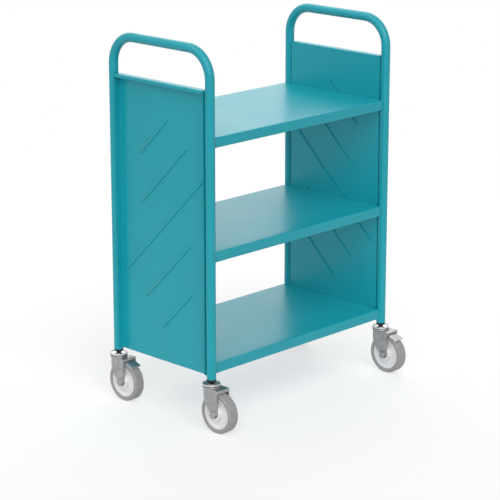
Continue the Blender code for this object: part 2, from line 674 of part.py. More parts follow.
def axle_sleeve():
    """The steel sleeve that the fork legs clamp and the wheel turns on."""
    half = FORK_INNER - FIT
    profile = [(SLEEVE_RADIUS, half), (SLEEVE_RADIUS, -half), (SLEEVE_BORE, -half), (SLEEVE_BORE, half)]
    return along_x(turned("axle_sleeve", profile, PIN_SIDES))


def pedal_point(distance, height):
    """A (y, z) point at a distance along the pedal's top face and a height above it, from the pivot."""
    forward = Vector((-math.cos(PEDAL_SLOPE), -math.sin(PEDAL_SLOPE)))
    up = Vector((-math.sin(PEDAL_SLOPE), math.cos(PEDAL_SLOPE)))
    return tuple(forward * distance + up * (PEDAL_TOP + height))


def brake_pedal(cutters):
    """The pedal about its pivot on X: a sloping plate with a turned-down front edge and a knuckle."""
    length = PEDAL_REACH / math.cos(PEDAL_SLOPE)
    outline = [
        pedal_point(0, 0),
        pedal_point(length - PEDAL_SHEET, 0),
        pedal_point(length, -PEDAL_SHEET / 2),
        pedal_point(length, -PEDAL_EDGE),
        pedal_point(length - PEDAL_SHEET, -PEDAL_EDGE),
        pedal_point(length - PEDAL_SHEET, -PEDAL_SHEET),
        pedal_point(0, -PEDAL_SHEET),
    ]
    plate = side_prism("brake_pedal", outline, PEDAL_HALF_WIDTH)
    knuckle = along_x(cylinder("pedal_knuckle", PEDAL_KNUCKLE, -PEDAL_HALF_WIDTH, PEDAL_HALF_WIDTH))
    bore = along_x(hole("pedal_bore", PIVOT_DIAMETER / 2 + FIT, -FORK_OUTER, FORK_OUTER))
    return combined("brake_pedal", plate, [("UNION", knuckle), ("DIFFERENCE", bore)], cutters)


def brake_shoe():
    """The shoe under the pedal, with bevelled ends, about the pedal's pivot."""
    top = -PEDAL_SHEET - FIT
    foot = top - SHOE_SHEET
    end = SHOE_START + SHOE_LENGTH
    outline = [
        pedal_point(SHOE_START, top),
        pedal_point(end, top),
        pedal_point(end - SHOE_SHEET, foot),
        pedal_point(SHOE_START + SHOE_SHEET, foot),
    ]
    return side_prism("brake_shoe", outline, PEDAL_HALF_WIDTH - SHOE_SIDE_INSET)


def pedal_pin():
    """The pin across the fork that the pedal turns on."""
    return along_x(cylinder("pedal_pin", PIVOT_DIAMETER / 2, -FORK_OUTER, FORK_OUTER))


def place(collection, name, mesh, finish, parent=None, location=(0, 0, 0), turn=0.0):
    """Add a named piece to the trolley."""
    mesh.shade_smooth()
    mesh.set_sharp_from_angle(angle=SHARP_ANGLE)
    if not mesh.materials:
        mesh.materials.append(finish_material(finish))
    obj = bpy.data.objects.new(name, mesh)
    obj.parent = parent
    obj.location = location
    obj.rotation_euler.z = turn
    collection.objects.link(obj)
    return obj


def add_axis(collection, name, location, parent=None):
    """Add an empty that marks a joint's axis."""
    empty = bpy.data.objects.new(name, None)
    empty.empty_display_size = 0.03
    empty.location = location
    empty.parent = parent
    collection.objects.link(empty)
    return empty


def build_body(collection, cutters):
    """Add the end frames, the end panels and the shelves."""
    tube = frame_tube()
    panel = end_panel(cutters)
    tray = shelf()
    half = FRAME_SPACING / 2
    for side, name in ((-1, "left"), (1, "right")):
        turn = 0.0 if side < 0 else math.pi
        place(collection, f"{name}_end_frame", tube, PAINT, location=(side * half, FRAME_Y, 0))
        inner = (side * (half - PANEL_INSET), FRAME_Y, PANEL_FOOT)
        place(collection, f"{name}_end_panel", panel, PAINT, location=inner, turn=turn)
    for index, name in enumerate(SHELF_NAMES):
        height = BOTTOM_SHELF_TOP + index * SHELF_PITCH
        place(collection, name, tray, PAINT, location=(0, FRAME_Y, height))


def build_castors(collection, cutters):
    """Add the four castors, each below an upright, with its wheel trailing towards the front."""
    head_seat = KING_PIN_FOOT - FIT
    stem_bolt = bolt("stem_bolt", TUBE_FOOT + STEM_ENGAGEMENT - head_seat, cutters)
    fixed = {
        "tube_plug": (tube_plug(), BLACK),
        "stem_bolt": (moved(stem_bolt, Matrix.Translation((0, 0, head_seat))), ZINC),
        "swivel_cup": (swivel_cup(), ZINC),
        "king_pin": (king_pin(), ZINC),
        "ball_ring": (ball_ring(), ZINC),
    }
    forks = {braked: fork(braked, cutters) for braked in (False, True)}
    outside = FORK_OUTER + FIT
    axle_bolt = along_x(bolt("axle_bolt", 2 * outside + HEX_HEIGHT, cutters))
    axle_nut = along_x(nut("axle_nut", cutters))
    on_axle = {
        "axle_bolt": (moved(axle_bolt, Matrix.Translation((-outside, 0, 0))), ZINC),
        "axle_nut": (moved(axle_nut, Matrix.Translation((outside, 0, 0))), ZINC),
        "axle_sleeve": (axle_sleeve(), ZINC),
        "wheel_core": (wheel_core(), CORE_WHITE),
        "tyre": (tyre(), TYRE_GREY),
    }
    on_pivot = {
        "pedal_pin": (pedal_pin(), ZINC),
        "brake_pedal": (brake_pedal(cutters), ZINC),
        "brake_shoe": (brake_shoe(), SHOE_GREY),
    }
    for y_side, depth_name in ((-1, "front"), (1, "rear")):
        for x_side, side_name in ((-1, "left"), (1, "right")):
            castor = f"{depth_name}_{side_name}"
            foot = (x_side * FRAME_SPACING / 2, FRAME_Y + y_side * FRAME_DEPTH / 2, 0)
            swivel = add_axis(collection, f"{castor}_swivel_axis", foot)
            wheel = add_axis(collection, f"{castor}_wheel_axis", (0, -CASTOR_TRAIL, WHEEL_RADIUS), swivel)
            braked = castor in BRAKED_CASTORS
            for piece, (mesh, finish) in fixed.items():
                place(collection, f"{castor}_{piece}", mesh, finish, swivel)
            place(collection, f"{castor}_fork", forks[braked], ZINC, swivel)
            for piece, (mesh, finish) in on_axle.items():
                place(collection, f"{castor}_{piece}", mesh, finish, wheel)
            if braked:
                pivot = add_axis(collection, f"{castor}_pedal_axis", PIVOT, swivel)
                for piece, (mesh, finish) in on_pivot.items():
                    place(collection, f"{castor}_{piece}", mesh, finish, pivot)


def main():
    """Build the trolley."""
    clear_scene()
    cutters = new_collection("cutters")
    cutters.hide_render = True
    trolley = new_collection("book_trolley")
    build_body(trolley, cutters)
    build_castors(trolley, cutters)


main()
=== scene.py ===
"""Looks of a book trolley: tube end frames, sheet end panels, three shelves and four swivel castors.

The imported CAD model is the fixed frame. Each piece made here stands for one CAD node, lies where that
node lies and moves with its body. Lengths are metres. The shelves run along X, the front faces -Y and
+Z is up.
"""

import json
import logging
import math
from abc import ABC, abstractmethod
from dataclasses import dataclass, field
from enum import Enum
from typing import Any, Iterable, Mapping, Optional, Sequence, Union

import bmesh
import bpy
from mathutils import Matrix, Vector


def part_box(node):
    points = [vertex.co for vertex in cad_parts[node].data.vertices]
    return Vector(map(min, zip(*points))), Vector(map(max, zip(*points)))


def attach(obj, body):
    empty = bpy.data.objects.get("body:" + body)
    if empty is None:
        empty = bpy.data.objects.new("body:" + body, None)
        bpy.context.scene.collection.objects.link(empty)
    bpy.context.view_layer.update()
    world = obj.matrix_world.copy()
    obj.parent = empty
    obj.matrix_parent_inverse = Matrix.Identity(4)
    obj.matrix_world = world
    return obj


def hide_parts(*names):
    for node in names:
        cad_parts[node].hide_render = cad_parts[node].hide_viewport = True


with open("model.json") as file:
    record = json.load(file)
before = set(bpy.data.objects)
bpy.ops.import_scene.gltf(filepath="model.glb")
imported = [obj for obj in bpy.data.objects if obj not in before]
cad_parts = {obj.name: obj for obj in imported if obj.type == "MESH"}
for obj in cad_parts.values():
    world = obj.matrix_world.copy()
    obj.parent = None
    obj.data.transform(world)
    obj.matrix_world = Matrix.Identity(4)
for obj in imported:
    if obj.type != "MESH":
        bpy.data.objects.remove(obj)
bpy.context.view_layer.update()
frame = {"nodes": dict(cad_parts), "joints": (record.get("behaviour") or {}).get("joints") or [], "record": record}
LOG = logging.getLogger("book_trolley")
BRAKED_LIP_FOOT = 0.1145  # the front lip of a fork with a pedal under it

Colour = tuple[float, float, float]
Place = tuple[float, float, float]
Point = tuple[float, float]
Number = Union[float, "Term"]


class End(Enum):
    """An end of the trolley, with its side on X."""

    LEFT = -1
    RIGHT = 1

    def node(self, piece: str) -> str:
        """Return the name of a CAD node at this end."""
        return f"{self.name.lower()}_{piece}"


class Level(Enum):
    """A shelf, by its CAD node."""

    BOTTOM = "bottom_shelf"
    MIDDLE = "middle_shelf"
    TOP = "top_shelf"


class Corner(Enum):
    """A castor's corner, by the start of its CAD nodes' names."""

    FRONT_LEFT = "front_left"
    FRONT_RIGHT = "front_right"
    REAR_LEFT = "rear_left"
    REAR_RIGHT = "rear_right"

    def node(self, piece: str) -> str:
        """Return the name of a CAD node or joint at this corner."""
        return f"{self.value}_{piece}"


class Slot(Enum):
    """A material slot of the record."""

    PAINT = "powder_coat"
    ZINC = "zinc"
    BLACK = "black_plastic"
    WHEEL = "wheel_plastic"
    TYRE = "tyre_rubber"
    SHOE = "shoe_steel"


class Term:
    """A value that changes over a surface. Arithmetic on it adds Math nodes."""

    def __init__(self, graph: "Graph", socket: bpy.types.NodeSocket) -> None:
        """Wrap an output socket of a graph."""
        self.graph = graph
        self.socket = socket

    def _math(self, operation: str, left: Number, right: Number) -> "Term":
        """Add a Math node with two values."""
        return self.graph.node("ShaderNodeMath", "Value", {"operation": operation}, {0: left, 1: right})

    def __add__(self, other: Number) -> "Term":
        """Return the sum."""
        return self._math("ADD", self, other)

    def __radd__(self, other: Number) -> "Term":
        """Return the sum, from the right."""
        return self._math("ADD", other, self)

    def __sub__(self, other: Number) -> "Term":
        """Return the difference."""
        return self._math("SUBTRACT", self, other)

    def __rsub__(self, other: Number) -> "Term":
        """Return the difference, from the right."""
        return self._math("SUBTRACT", other, self)

    def __mul__(self, other: Number) -> "Term":
        """Return the product."""
        return self._math("MULTIPLY", self, other)

    def __rmul__(self, other: Number) -> "Term":
        """Return the product, from the right."""
        return self._math("MULTIPLY", other, self)

    def highest(self, other: Number) -> "Term":
        """Return the larger of two values."""
        return self._math("MAXIMUM", self, other)


class Graph:
    """The node tree of a material or of the world."""

    def __init__(self, tree: bpy.types.NodeTree) -> None:
        """Wrap a node tree."""
        self.tree = tree

    def node(
        self,
        kind: str,
        output: str,
        settings: Optional[Mapping[str, Any]] = None,
        sockets: Optional[Mapping[Union[str, int], Any]] = None,
    ) -> Term:
        """Add a node.

        Args:
            kind: the node's type.
            output: the name of the output that is wanted.
            settings: the node's own settings, set first.
            sockets: values or terms for its inputs, by name or place.

        Returns:
            The wanted output.
        """
        node = self.tree.nodes.new(kind)
        for name, value in (settings or {}).items():
            setattr(node, name, value)
        for key, value in (sockets or {}).items():
            self.feed(node, key, value)
        return Term(self, next(s for s in node.outputs if s.name == output and s.enabled))

    def feed(self, node: bpy.types.Node, key: Union[str, int], value: Any) -> None:
        """Set or link one input of a node.

        Args:
            node: the node.
            key: the input's name or place.
            value: a number, a colour, a vector or a term.
        """
        if isinstance(key, int):
            socket = node.inputs[key]
        else:
            socket = next(s for s in node.inputs if s.name == key and s.enabled)
        if isinstance(value, Term):
            self.tree.links.new(value.socket, socket)
        elif socket.type == "RGBA":
            socket.default_value = (*value, 1)
        else:
            socket.default_value = value

    def place(self) -> Term:
        """Return the object coordinates."""
        return self.node("ShaderNodeTexCoord", "Object")

    def noise(
        self, cells: float, detail: float = 2.0, roughness: float = 0.5, stretch: Optional[Place] = None,
    ) -> Term:
        """Add a noise pattern on object coordinates.

        Args:
            cells: how many cells there are in a metre.
            detail: its octaves.
            roughness: the weight of the finer octaves.
            stretch: scale of each axis, for streaks.

        Returns:
            The pattern, about 0.5 in the middle.
        """
        place = self.place()
        if stretch:
            place = self.node("ShaderNodeMapping", "Vector", None, {"Vector": place, "Scale": stretch})
        sockets = {"Vector": place, "Scale": cells, "Detail": detail, "Roughness": roughness}
        return self.node("ShaderNodeTexNoise", "Fac", None, sockets)

    def contrast(self, pattern: Term, low: float, high: float) -> Term:
        """Spread a pattern so that low becomes 0 and high becomes 1."""
        sockets = {"Value": pattern, "From Min": low, "From Max": high}
        return self.node("ShaderNodeMapRange", "Result", {"interpolation_type": "SMOOTHSTEP"}, sockets)

    def mix(self, factor: Term, first: Colour, second: Colour) -> Term:
        """Mix two colours by a factor."""
        settings = {"data_type": "RGBA", "blend_type": "MIX"}
        return self.node("ShaderNodeMix", "Result", settings, {"Factor": factor, "A": first, "B": second})

    def bump(self, height: Term, distance: float) -> Term:
        """Turn a height pattern into a normal."""
        sockets = {"Height": height, "Distance": distance, "Strength": 1.0}
        return self.node("ShaderNodeBump", "Normal", None, sockets)

    def seen(self) -> Term:
        """Tell what is seen from what only gives light.

        Returns:
            1 for what is seen directly, in reflections or through glass, and 0 for its light.
        """
        camera = self.node("ShaderNodeLightPath", "Is Camera Ray")
        glossy = self.node("ShaderNodeLightPath", "Is Glossy Ray")
        through = self.node("ShaderNodeLightPath", "Is Transmission Ray")
        return camera.highest(glossy).highest(through)

    def surface(self, sockets: Mapping[str, Any]) -> None:
        """Set or link inputs of the material's own Principled shader.

        Args:
            sockets: values or terms, by the inputs' names.
        """
        shader = self.tree.nodes["Principled BSDF"]
        for key, value in sockets.items():
            self.feed(shader, key, value)


@dataclass(frozen=True)
class Finish(ABC):
    """A procedural finish of the trolley's pieces."""

    name: str
    slot: Slot

    def material(self) -> bpy.types.Material:
        """Make the finish's material, or find it where it is made already.

        Returns:
            The material.
        """
        found = bpy.data.materials.get(self.name)
        if found is None:
            found = bpy.data.materials.new(self.name)
            found.use_nodes = True
            self.paint(Graph(found.node_tree))
        return found

    @abstractmethod
    def paint(self, graph: Graph) -> None:
        """Set up the material's nodes."""


@dataclass(frozen=True)
class PowderCoat(Finish):
    """Semi-gloss powder coating with a fine orange peel."""

    colour: Colour
    deep_colour: Colour
    roughness: float = 0.36
    film_cells: float = 5.0
    film_range: Point = (0.3, 0.7)
    film_spread: float = 0.05
    peel_cells: float = 520.0
    peel_depth: float = 0.00005
    grain_cells: float = 2080.0
    grain_spread: float = 0.06
    grain_share: float = 0.25
    ior: float = 1.4

    def paint(self, graph: Graph) -> None:
        """Set up the material's nodes.

        Args:
            graph: the material's graph.
        """
        film = graph.contrast(graph.noise(self.film_cells, detail=3.0), *self.film_range)
        peel = graph.noise(self.peel_cells)
        grain = graph.noise(self.grain_cells, detail=1.0)
        graph.surface({
            "Base Color": graph.mix(film, self.deep_colour, self.colour),
            "Roughness": self.roughness + self.film_spread * (film - 0.5)
            + self.grain_spread * (grain - 0.5),
            "Normal": graph.bump(peel + self.grain_share * grain, self.peel_depth),
            "IOR": self.ior,
        })


@dataclass(frozen=True)
class ZincPlate(Finish):
    """Bright zinc plating over pressed or turned steel."""

    bright: Colour
    dull: Colour
    roughness: float = 0.33
    cloud_cells: float = 60.0
    cloud_range: Point = (0.35, 0.65)
    cloud_spread: float = 0.10
    line_cells: float = 900.0
    line_spread: float = 0.16
    line_stretch: Place = (1.0, 1.0, 0.06)
    grain_cells: float = 2400.0
    grain_share: float = 0.4
    depth: float = 0.00002

    def paint(self, graph: Graph) -> None:
        """Set up the material's nodes.

        Args:
            graph: the material's graph.
        """
        cloud = graph.contrast(graph.noise(self.cloud_cells, detail=4.0, roughness=0.6), *self.cloud_range)
        draw_lines = graph.noise(self.line_cells, roughness=0.6, stretch=self.line_stretch)
        grain = graph.noise(self.grain_cells, detail=1.0)
        graph.surface({
            "Base Color": graph.mix(cloud, self.dull, self.bright),
            "Metallic": 1.0,
            "Roughness": self.roughness + self.cloud_spread * (1 - cloud)
            + self.line_spread * (draw_lines - 0.5),
            "Normal": graph.bump(draw_lines + self.grain_share * grain, self.depth),
        })


@dataclass(frozen=True)
class MouldedPlastic(Finish):
    """Injection-moulded plastic with a fine eroded grain."""

    colour: Colour
    shade: Colour
    roughness: float = 0.42
    flow_cells: float = 35.0
    flow_range: Point = (0.3, 0.7)
    flow_spread: float = 0.05
    grain_cells: float = 1800.0
    grain_spread: float = 0.08
    grain_depth: float = 0.00003
    ior: float = 1.48

    def paint(self, graph: Graph) -> None:
        """Set up the material's nodes.

        Args:
            graph: the material's graph.
        """
        flow = graph.contrast(graph.noise(self.flow_cells, detail=3.0), *self.flow_range)
        grain = graph.noise(self.grain_cells, roughness=0.6)
        graph.surface({
            "Base Color": graph.mix(flow, self.shade, self.colour),
            "Roughness": self.roughness + self.grain_spread * (grain - 0.5)
            + self.flow_spread * (flow - 0.5),
            "Normal": graph.bump(grain, self.grain_depth),
            "IOR": self.ior,
        })


@dataclass(frozen=True)
class TyreRubber(Finish):
    """Non-marking grey rubber with a dry, slightly scuffed skin."""

    colour: Colour
    scuffed: Colour
    roughness: float = 0.68
    scuff_cells: float = 140.0
    scuff_range: Point = (0.45, 0.75)
    scuff_spread: float = 0.12
    scuff_share: float = 0.6
    skin_cells: float = 2200.0
    skin_spread: float = 0.08
    skin_depth: float = 0.00004
    ior: float = 1.45

    def paint(self, graph: Graph) -> None:
        """Set up the material's nodes.

        Args:
            graph: the material's graph.
        """
        scuff = graph.contrast(graph.noise(self.scuff_cells, detail=5.0, roughness=0.65), *self.scuff_range)
        skin = graph.noise(self.skin_cells, roughness=0.6)
        graph.surface({
            "Base Color": graph.mix(scuff, self.colour, self.scuffed),
            "Roughness": self.roughness + self.scuff_spread * scuff + self.skin_spread * (skin - 0.5),
            "Normal": graph.bump(skin + self.scuff_share * scuff, self.skin_depth),
            "IOR": self.ior,
        })


@dataclass(frozen=True)
class BareSteel(Finish):
    """Dark uncoated steel with a mill skin."""

    colour: Colour
    skin: Colour
    roughness: float = 0.46
    patch_cells: float = 120.0
    patch_range: Point = (0.4, 0.65)
    patch_spread: float = 0.14
    grain_cells: float = 2600.0
    grain_depth: float = 0.00002

    def paint(self, graph: Graph) -> None:
        """Set up the material's nodes.

        Args:
            graph: the material's graph.
        """
        patches = graph.noise(self.patch_cells, detail=4.0, roughness=0.6)
        patches = graph.contrast(patches, *self.patch_range)
        grain = graph.noise(self.grain_cells, detail=1.0)
        graph.surface({
            "Base Color": graph.mix(patches, self.colour, self.skin),
            "Metallic": 1.0,
            "Roughness": self.roughness + self.patch_spread * patches,
            "Normal": graph.bump(grain, self.grain_depth),
        })


TEAL_PAINT = PowderCoat("teal_powder_coat", Slot.PAINT, (0.004, 0.276, 0.336), (0.003, 0.264, 0.322))
# One zinc plating in two copies. This lighter copy, on the stem bolt, king pin, cup, balls, pedals and pedal pins,
# is a painted highlight.
ZINC = ZincPlate("bright_zinc", Slot.ZINC, (0.58, 0.58, 0.585), (0.50, 0.50, 0.505))
# The darker copy of the same zinc, on the forks and the axle parts, is painted shade.
ZINC_PAINTED_SHADE = ZincPlate("pressed_zinc", Slot.ZINC, (0.38, 0.38, 0.385), (0.31, 0.31, 0.315))
BLACK_PLASTIC = MouldedPlastic(
    "black_plug_plastic", Slot.BLACK, (0.011, 0.011, 0.012), (0.008, 0.008, 0.009), ior=1.33,
)
WHEEL_PLASTIC = MouldedPlastic(
    "pale_wheel_plastic", Slot.WHEEL, (0.62, 0.615, 0.615), (0.58, 0.575, 0.58), roughness=0.5,
)
GREY_RUBBER = TyreRubber("grey_tyre_rubber", Slot.TYRE, (0.245, 0.237, 0.241), (0.30, 0.292, 0.294))
SHOE_STEEL = BareSteel("brake_shoe_steel", Slot.SHOE, (0.16, 0.16, 0.165), (0.10, 0.10, 0.105))


class Draft:
    """A mesh in the making, with the operations that shape the trolley's pieces."""

    SAME = 1e-6
    SHARP = math.radians(35)
    HEX_CHAMFER = math.radians(30)
    HEX_RIM = 0.95
    HEX_CUTS = 7

    def __init__(self) -> None:
        """Start an empty mesh."""
        self.bm = bmesh.new()

    @classmethod
    def turned(cls, profile: Sequence[Point], steps: int) -> "Draft":
        """Spin a closed profile about Z.

        Args:
            profile: (radius, height) points.
            steps: faces round the axis.

        Returns:
            The closed shape.
        """
        draft = cls()
        verts = [draft.bm.verts.new((radius, 0, height)) for radius, height in profile]
        edges = [draft.bm.edges.new(pair) for pair in zip(verts, verts[1:] + verts[:1])]
        bmesh.ops.spin(
            draft.bm, geom=verts + edges, cent=(0, 0, 0), axis=(0, 0, 1),
            angle=2 * math.pi, steps=steps, use_merge=True,
        )
        return draft.closed()

    @classmethod
    def ring(cls, inner: float, outer: float, low: float, high: float, steps: int = 40) -> "Draft":
        """Turn a plain ring about Z, from its two radii and the heights of its ends."""
        return cls.turned([(inner, high), (outer, high), (outer, low), (inner, low)], steps)

    @classmethod
    def plate(
        cls, columns: Sequence[float], rows: Sequence[float], dropped: set[tuple[int, int]],
    ) -> "Draft":
        """Make a flat grid in XY.

        Args:
            columns: places of its lines on X.
            rows: places of its lines on Y.
            dropped: (column, row) cells that are left out.

        Returns:
            The open plate.
        """
        draft = cls()
        spans = (len(columns) - 1, len(rows) - 1)
        bmesh.ops.create_grid(draft.bm, x_segments=spans[0], y_segments=spans[1], size=0.5)

        def lines(point: Vector) -> Point:
            """Return a point's place, counted in cells."""
            return (point.x + 0.5) * spans[0], (point.y + 0.5) * spans[1]

        cells = {face: lines(face.calc_center_median()) for face in draft.bm.faces}
        out = [face for face, (column, row) in cells.items() if (int(column), int(row)) in dropped]
        bmesh.ops.delete(draft.bm, geom=out, context="FACES")
        for vert in draft.bm.verts:
            column, row = lines(vert.co)
            vert.co = (columns[round(column)], rows[round(row)], 0)
        return draft

    @classmethod
    def bar(cls, outline: Sequence[Point], half_width: float) -> "Draft":
        """Extrude a closed (y, z) outline along X, to both sides.

        Args:
            outline: the corners in order.
            half_width: how far it reaches to each side.

        Returns:
            The closed bar.
        """
        draft = cls()
        face = draft.bm.faces.new([draft.bm.verts.new((-half_width, y, z)) for y, z in outline])
        made = bmesh.ops.extrude_face_region(draft.bm, geom=[face])["geom"]
        draft.shift(made, (2 * half_width, 0, 0))
        return draft.closed()

    @classmethod
    def rod(
        cls, radius: float, low: float, high: float, steps: int = 32, end_radius: Optional[float] = None,
    ) -> "Draft":
        """Make a round rod on Z.

        Args:
            radius: its radius at the low end.
            low: height of its low end.
            high: height of its high end.
            steps: faces round the axis.
            end_radius: its radius at the high end, where that differs.

        Returns:
            The closed rod.
        """
        draft = cls()
        bmesh.ops.create_cone(
            draft.bm, cap_ends=True, segments=steps, radius1=radius,
            radius2=radius if end_radius is None else end_radius, depth=high - low,
        )
        draft.shift(draft.bm.verts, (0, 0, (high + low) / 2))
        return draft

    @classmethod
    def hexagon(cls, across: float, height: float) -> "Draft":
        """Make a hex on Z from z = 0 up, with the corners of its top turned off as on a bolt head.

        Args:
            across: width across its flats.
            height: its height.

        Returns:
            The closed hex.
        """
        draft = cls.rod(across / 2 / math.cos(math.pi / 6), 0, height, steps=6)
        top = [e for e in draft.bm.edges if all(abs(v.co.z - height) < cls.SAME for v in e.verts)]
        bmesh.ops.subdivide_edges(draft.bm, edges=top, cuts=cls.HEX_CUTS)
        rim = cls.HEX_RIM * across / 2
        for vert in draft.bm.verts:
            if abs(vert.co.z - height) < cls.SAME:
                vert.co.z -= (vert.co.xy.length - rim) * math.tan(cls.HEX_CHAMFER)
        cap = max(draft.bm.faces, key=lambda face: face.calc_center_median().z)
        bmesh.ops.inset_region(draft.bm, faces=[cap], thickness=across / 2 - rim)
        for vert in cap.verts:
            vert.co.z = height
        return draft.closed()

    def shift(self, geometry: Iterable[Any], step: Sequence[float]) -> None:
        """Move the vertices among some geometry."""
        verts = [item for item in geometry if isinstance(item, bmesh.types.BMVert)]
        bmesh.ops.translate(self.bm, verts=verts, vec=step)

    def closed(self) -> "Draft":
        """Merge doubles and turn the faces outwards.

        Returns:
            The draft itself.
        """
        bmesh.ops.remove_doubles(self.bm, verts=self.bm.verts, dist=self.SAME)
        bmesh.ops.recalc_face_normals(self.bm, faces=self.bm.faces)
        return self

    def facing(self, axis: int) -> "Draft":
        """Merge an open sheet's doubles and turn its faces.

        Args:
            axis: the axis that the largest face looks up.

        Returns:
            The draft itself.
        """
        self.closed()
        main = max(self.bm.faces, key=lambda face: face.calc_area())
        if main.normal[axis] < 0:
            bmesh.ops.reverse_faces(self.bm, faces=self.bm.faces)
        return self

    def moved(self, matrix: Matrix) -> "Draft":
        """Transform the whole mesh."""
        bmesh.ops.transform(self.bm, matrix=matrix, verts=self.bm.verts)
        return self

    def along_x(self) -> "Draft":
        """Turn a shape that was made about Z so that its upper end points to +X."""
        return self.moved(Matrix.Rotation(math.pi / 2, 4, "Y"))

    def open_edges(self, axis: int, place: float) -> list[bmesh.types.BMEdge]:
        """Find the open edges at a place on an axis.

        Args:
            axis: the axis.
            place: where both ends of an edge lie on it.

        Returns:
            The edges.
        """
        return [
            edge for edge in self.bm.edges
            if edge.is_boundary and all(abs(vert.co[axis] - place) < self.SAME for vert in edge.verts)
        ]

    def fold(self, edges: Sequence[bmesh.types.BMEdge], step: Sequence[float]) -> list[bmesh.types.BMEdge]:
        """Extrude open edges by a step, as a fold of the sheet.

        Args:
            edges: the edges.
            step: how far they go.

        Returns:
            The new outer edges.
        """
        made = bmesh.ops.extrude_edge_only(self.bm, edges=edges)["geom"]
        self.shift(made, step)
        verts = {item for item in made if isinstance(item, bmesh.types.BMVert)}
        edges = [item for item in made if isinstance(item, bmesh.types.BMEdge)]
        return [edge for edge in edges if all(vert in verts for vert in edge.verts)]

    def sweep(
        self, edges: Sequence[bmesh.types.BMEdge], centre: Place, axis: Place, angle: float, steps: int,
    ) -> list[bmesh.types.BMEdge]:
        """Spin open edges about an axis.

        Args:
            edges: the edges.
            centre: a point of the axis.
            axis: its direction.
            angle: how far they turn.
            steps: in how many steps.

        Returns:
            The edges at the end.
        """
        verts = dict.fromkeys(vert for edge in edges for vert in edge.verts)
        made = bmesh.ops.spin(
            self.bm, geom=[*verts, *edges], cent=centre, axis=axis, angle=angle, steps=steps,
            use_merge=False,
        )["geom_last"]
        return [item for item in made if isinstance(item, bmesh.types.BMEdge)]

    def cut(
        self, faces: Iterable[bmesh.types.BMFace], point: Place, normal: Place, clear: bool = False,
    ) -> None:
        """Cut some faces along a plane.

        Args:
            faces: the faces.
            point: a point of the plane.
            normal: the plane's normal.
            clear: whether what lies behind the plane is taken away.
        """
        geometry = dict.fromkeys(item for face in faces for item in (face, *face.edges, *face.verts))
        bmesh.ops.bisect_plane(
            self.bm, geom=list(geometry), dist=self.SAME, plane_co=point, plane_no=normal,
            clear_inner=clear,
        )

    def rounded(self, radius: float, segments: int = 2, angle: float = math.radians(30)) -> "Draft":
        """Round the edges that are sharper than an angle."""
        sharp = [e for e in self.bm.edges if len(e.link_faces) == 2 and e.calc_face_angle() > angle]
        return self.bevelled(sharp, "EDGES", radius, segments)

    def bevelled(self, geometry: Sequence[Any], affect: str, radius: float, segments: int) -> "Draft":
        """Bevel some edges or vertices.

        Args:
            geometry: the edges or vertices.
            affect: EDGES or VERTICES.
            radius: how wide the bevel is.
            segments: its faces.

        Returns:
            The draft itself.
        """
        bmesh.ops.bevel(
            self.bm, geom=geometry, offset=radius, offset_type="OFFSET", segments=segments, profile=0.5,
            affect=affect, material=-1, clamp_overlap=True,
        )
        return self

    def thickened(self, thickness: float) -> "Draft":
        """Give an open sheet its thickness, away from the side that its faces point to."""
        bmesh.ops.solidify(self.bm, geom=self.bm.faces[:], thickness=thickness)
        return self

    def joined(self, other: "Draft", place: Optional[Matrix] = None) -> "Draft":
        """Add a copy of another draft.

        Args:
            other: the draft.
            place: where the copy goes.

        Returns:
            The draft itself.
        """
        mesh = bpy.data.meshes.new("copy")
        other.bm.to_mesh(mesh)
        if place is not None:
            mesh.transform(place)
        self.bm.from_mesh(mesh)
        bpy.data.meshes.remove(mesh)
        return self

    def mesh(self, name: str, place: Matrix) -> bpy.types.Mesh:
        """Write a placed copy of the draft to a mesh, with smooth faces and sharp edges.

        Args:
            name: the mesh's name.
            place: where the copy goes.

        Returns:
            The mesh.
        """
        mesh = bpy.data.meshes.new(name)
        self.bm.to_mesh(mesh)
        mesh.transform(place)
        mesh.shade_smooth()
        mesh.set_sharp_from_angle(angle=self.SHARP)
        return mesh


def linked(name: str, data: bpy.types.ID) -> bpy.types.Object:
    """Put a new object into the scene.

    Args:
        name: its name.
        data: the mesh, lamp or camera that it shows.

    Returns:
        The object.
    """
    made = bpy.data.objects.new(name, data)
    bpy.context.scene.collection.objects.link(made)
    return made


def both_sides(half: Sequence[Point]) -> list[Point]:
    """Return a turned profile with its mirror image below z = 0, in reverse."""
    return [*half, *((radius, -height) for radius, height in reversed(half))]


@dataclass
class SubAssembly(ABC):
    """A group of pieces that are built and dressed together."""

    pieces: list[tuple[bpy.types.Object, Finish]] = field(default_factory=list, init=False)

    @abstractmethod
    def build(self) -> None:
        """Make the pieces' meshes."""

    def add(self, node: str, draft: Draft, place: Matrix, finish: Finish) -> None:
        """Make the piece that stands for a CAD node and rides on that node's body.

        Args:
            node: the CAD node.
            draft: the piece's shape.
            place: where the shape goes.
            finish: what the piece is dressed in.
        """
        name = f"{node}_piece"
        piece = linked(name, draft.mesh(name, place))
        bodies = frame["record"]["behaviour"]["bodies"]
        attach(piece, next(body for body, nodes in bodies.items() if node in nodes))
        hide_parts(node)
        self.pieces.append((piece, finish))

    def dress(self) -> None:
        """Give each piece its finish and report it."""
        for piece, finish in self.pieces:
            piece.data.materials.append(finish.material())
            LOG.info("%s: %s, %d faces", piece.name, finish.name, len(piece.data.polygons))


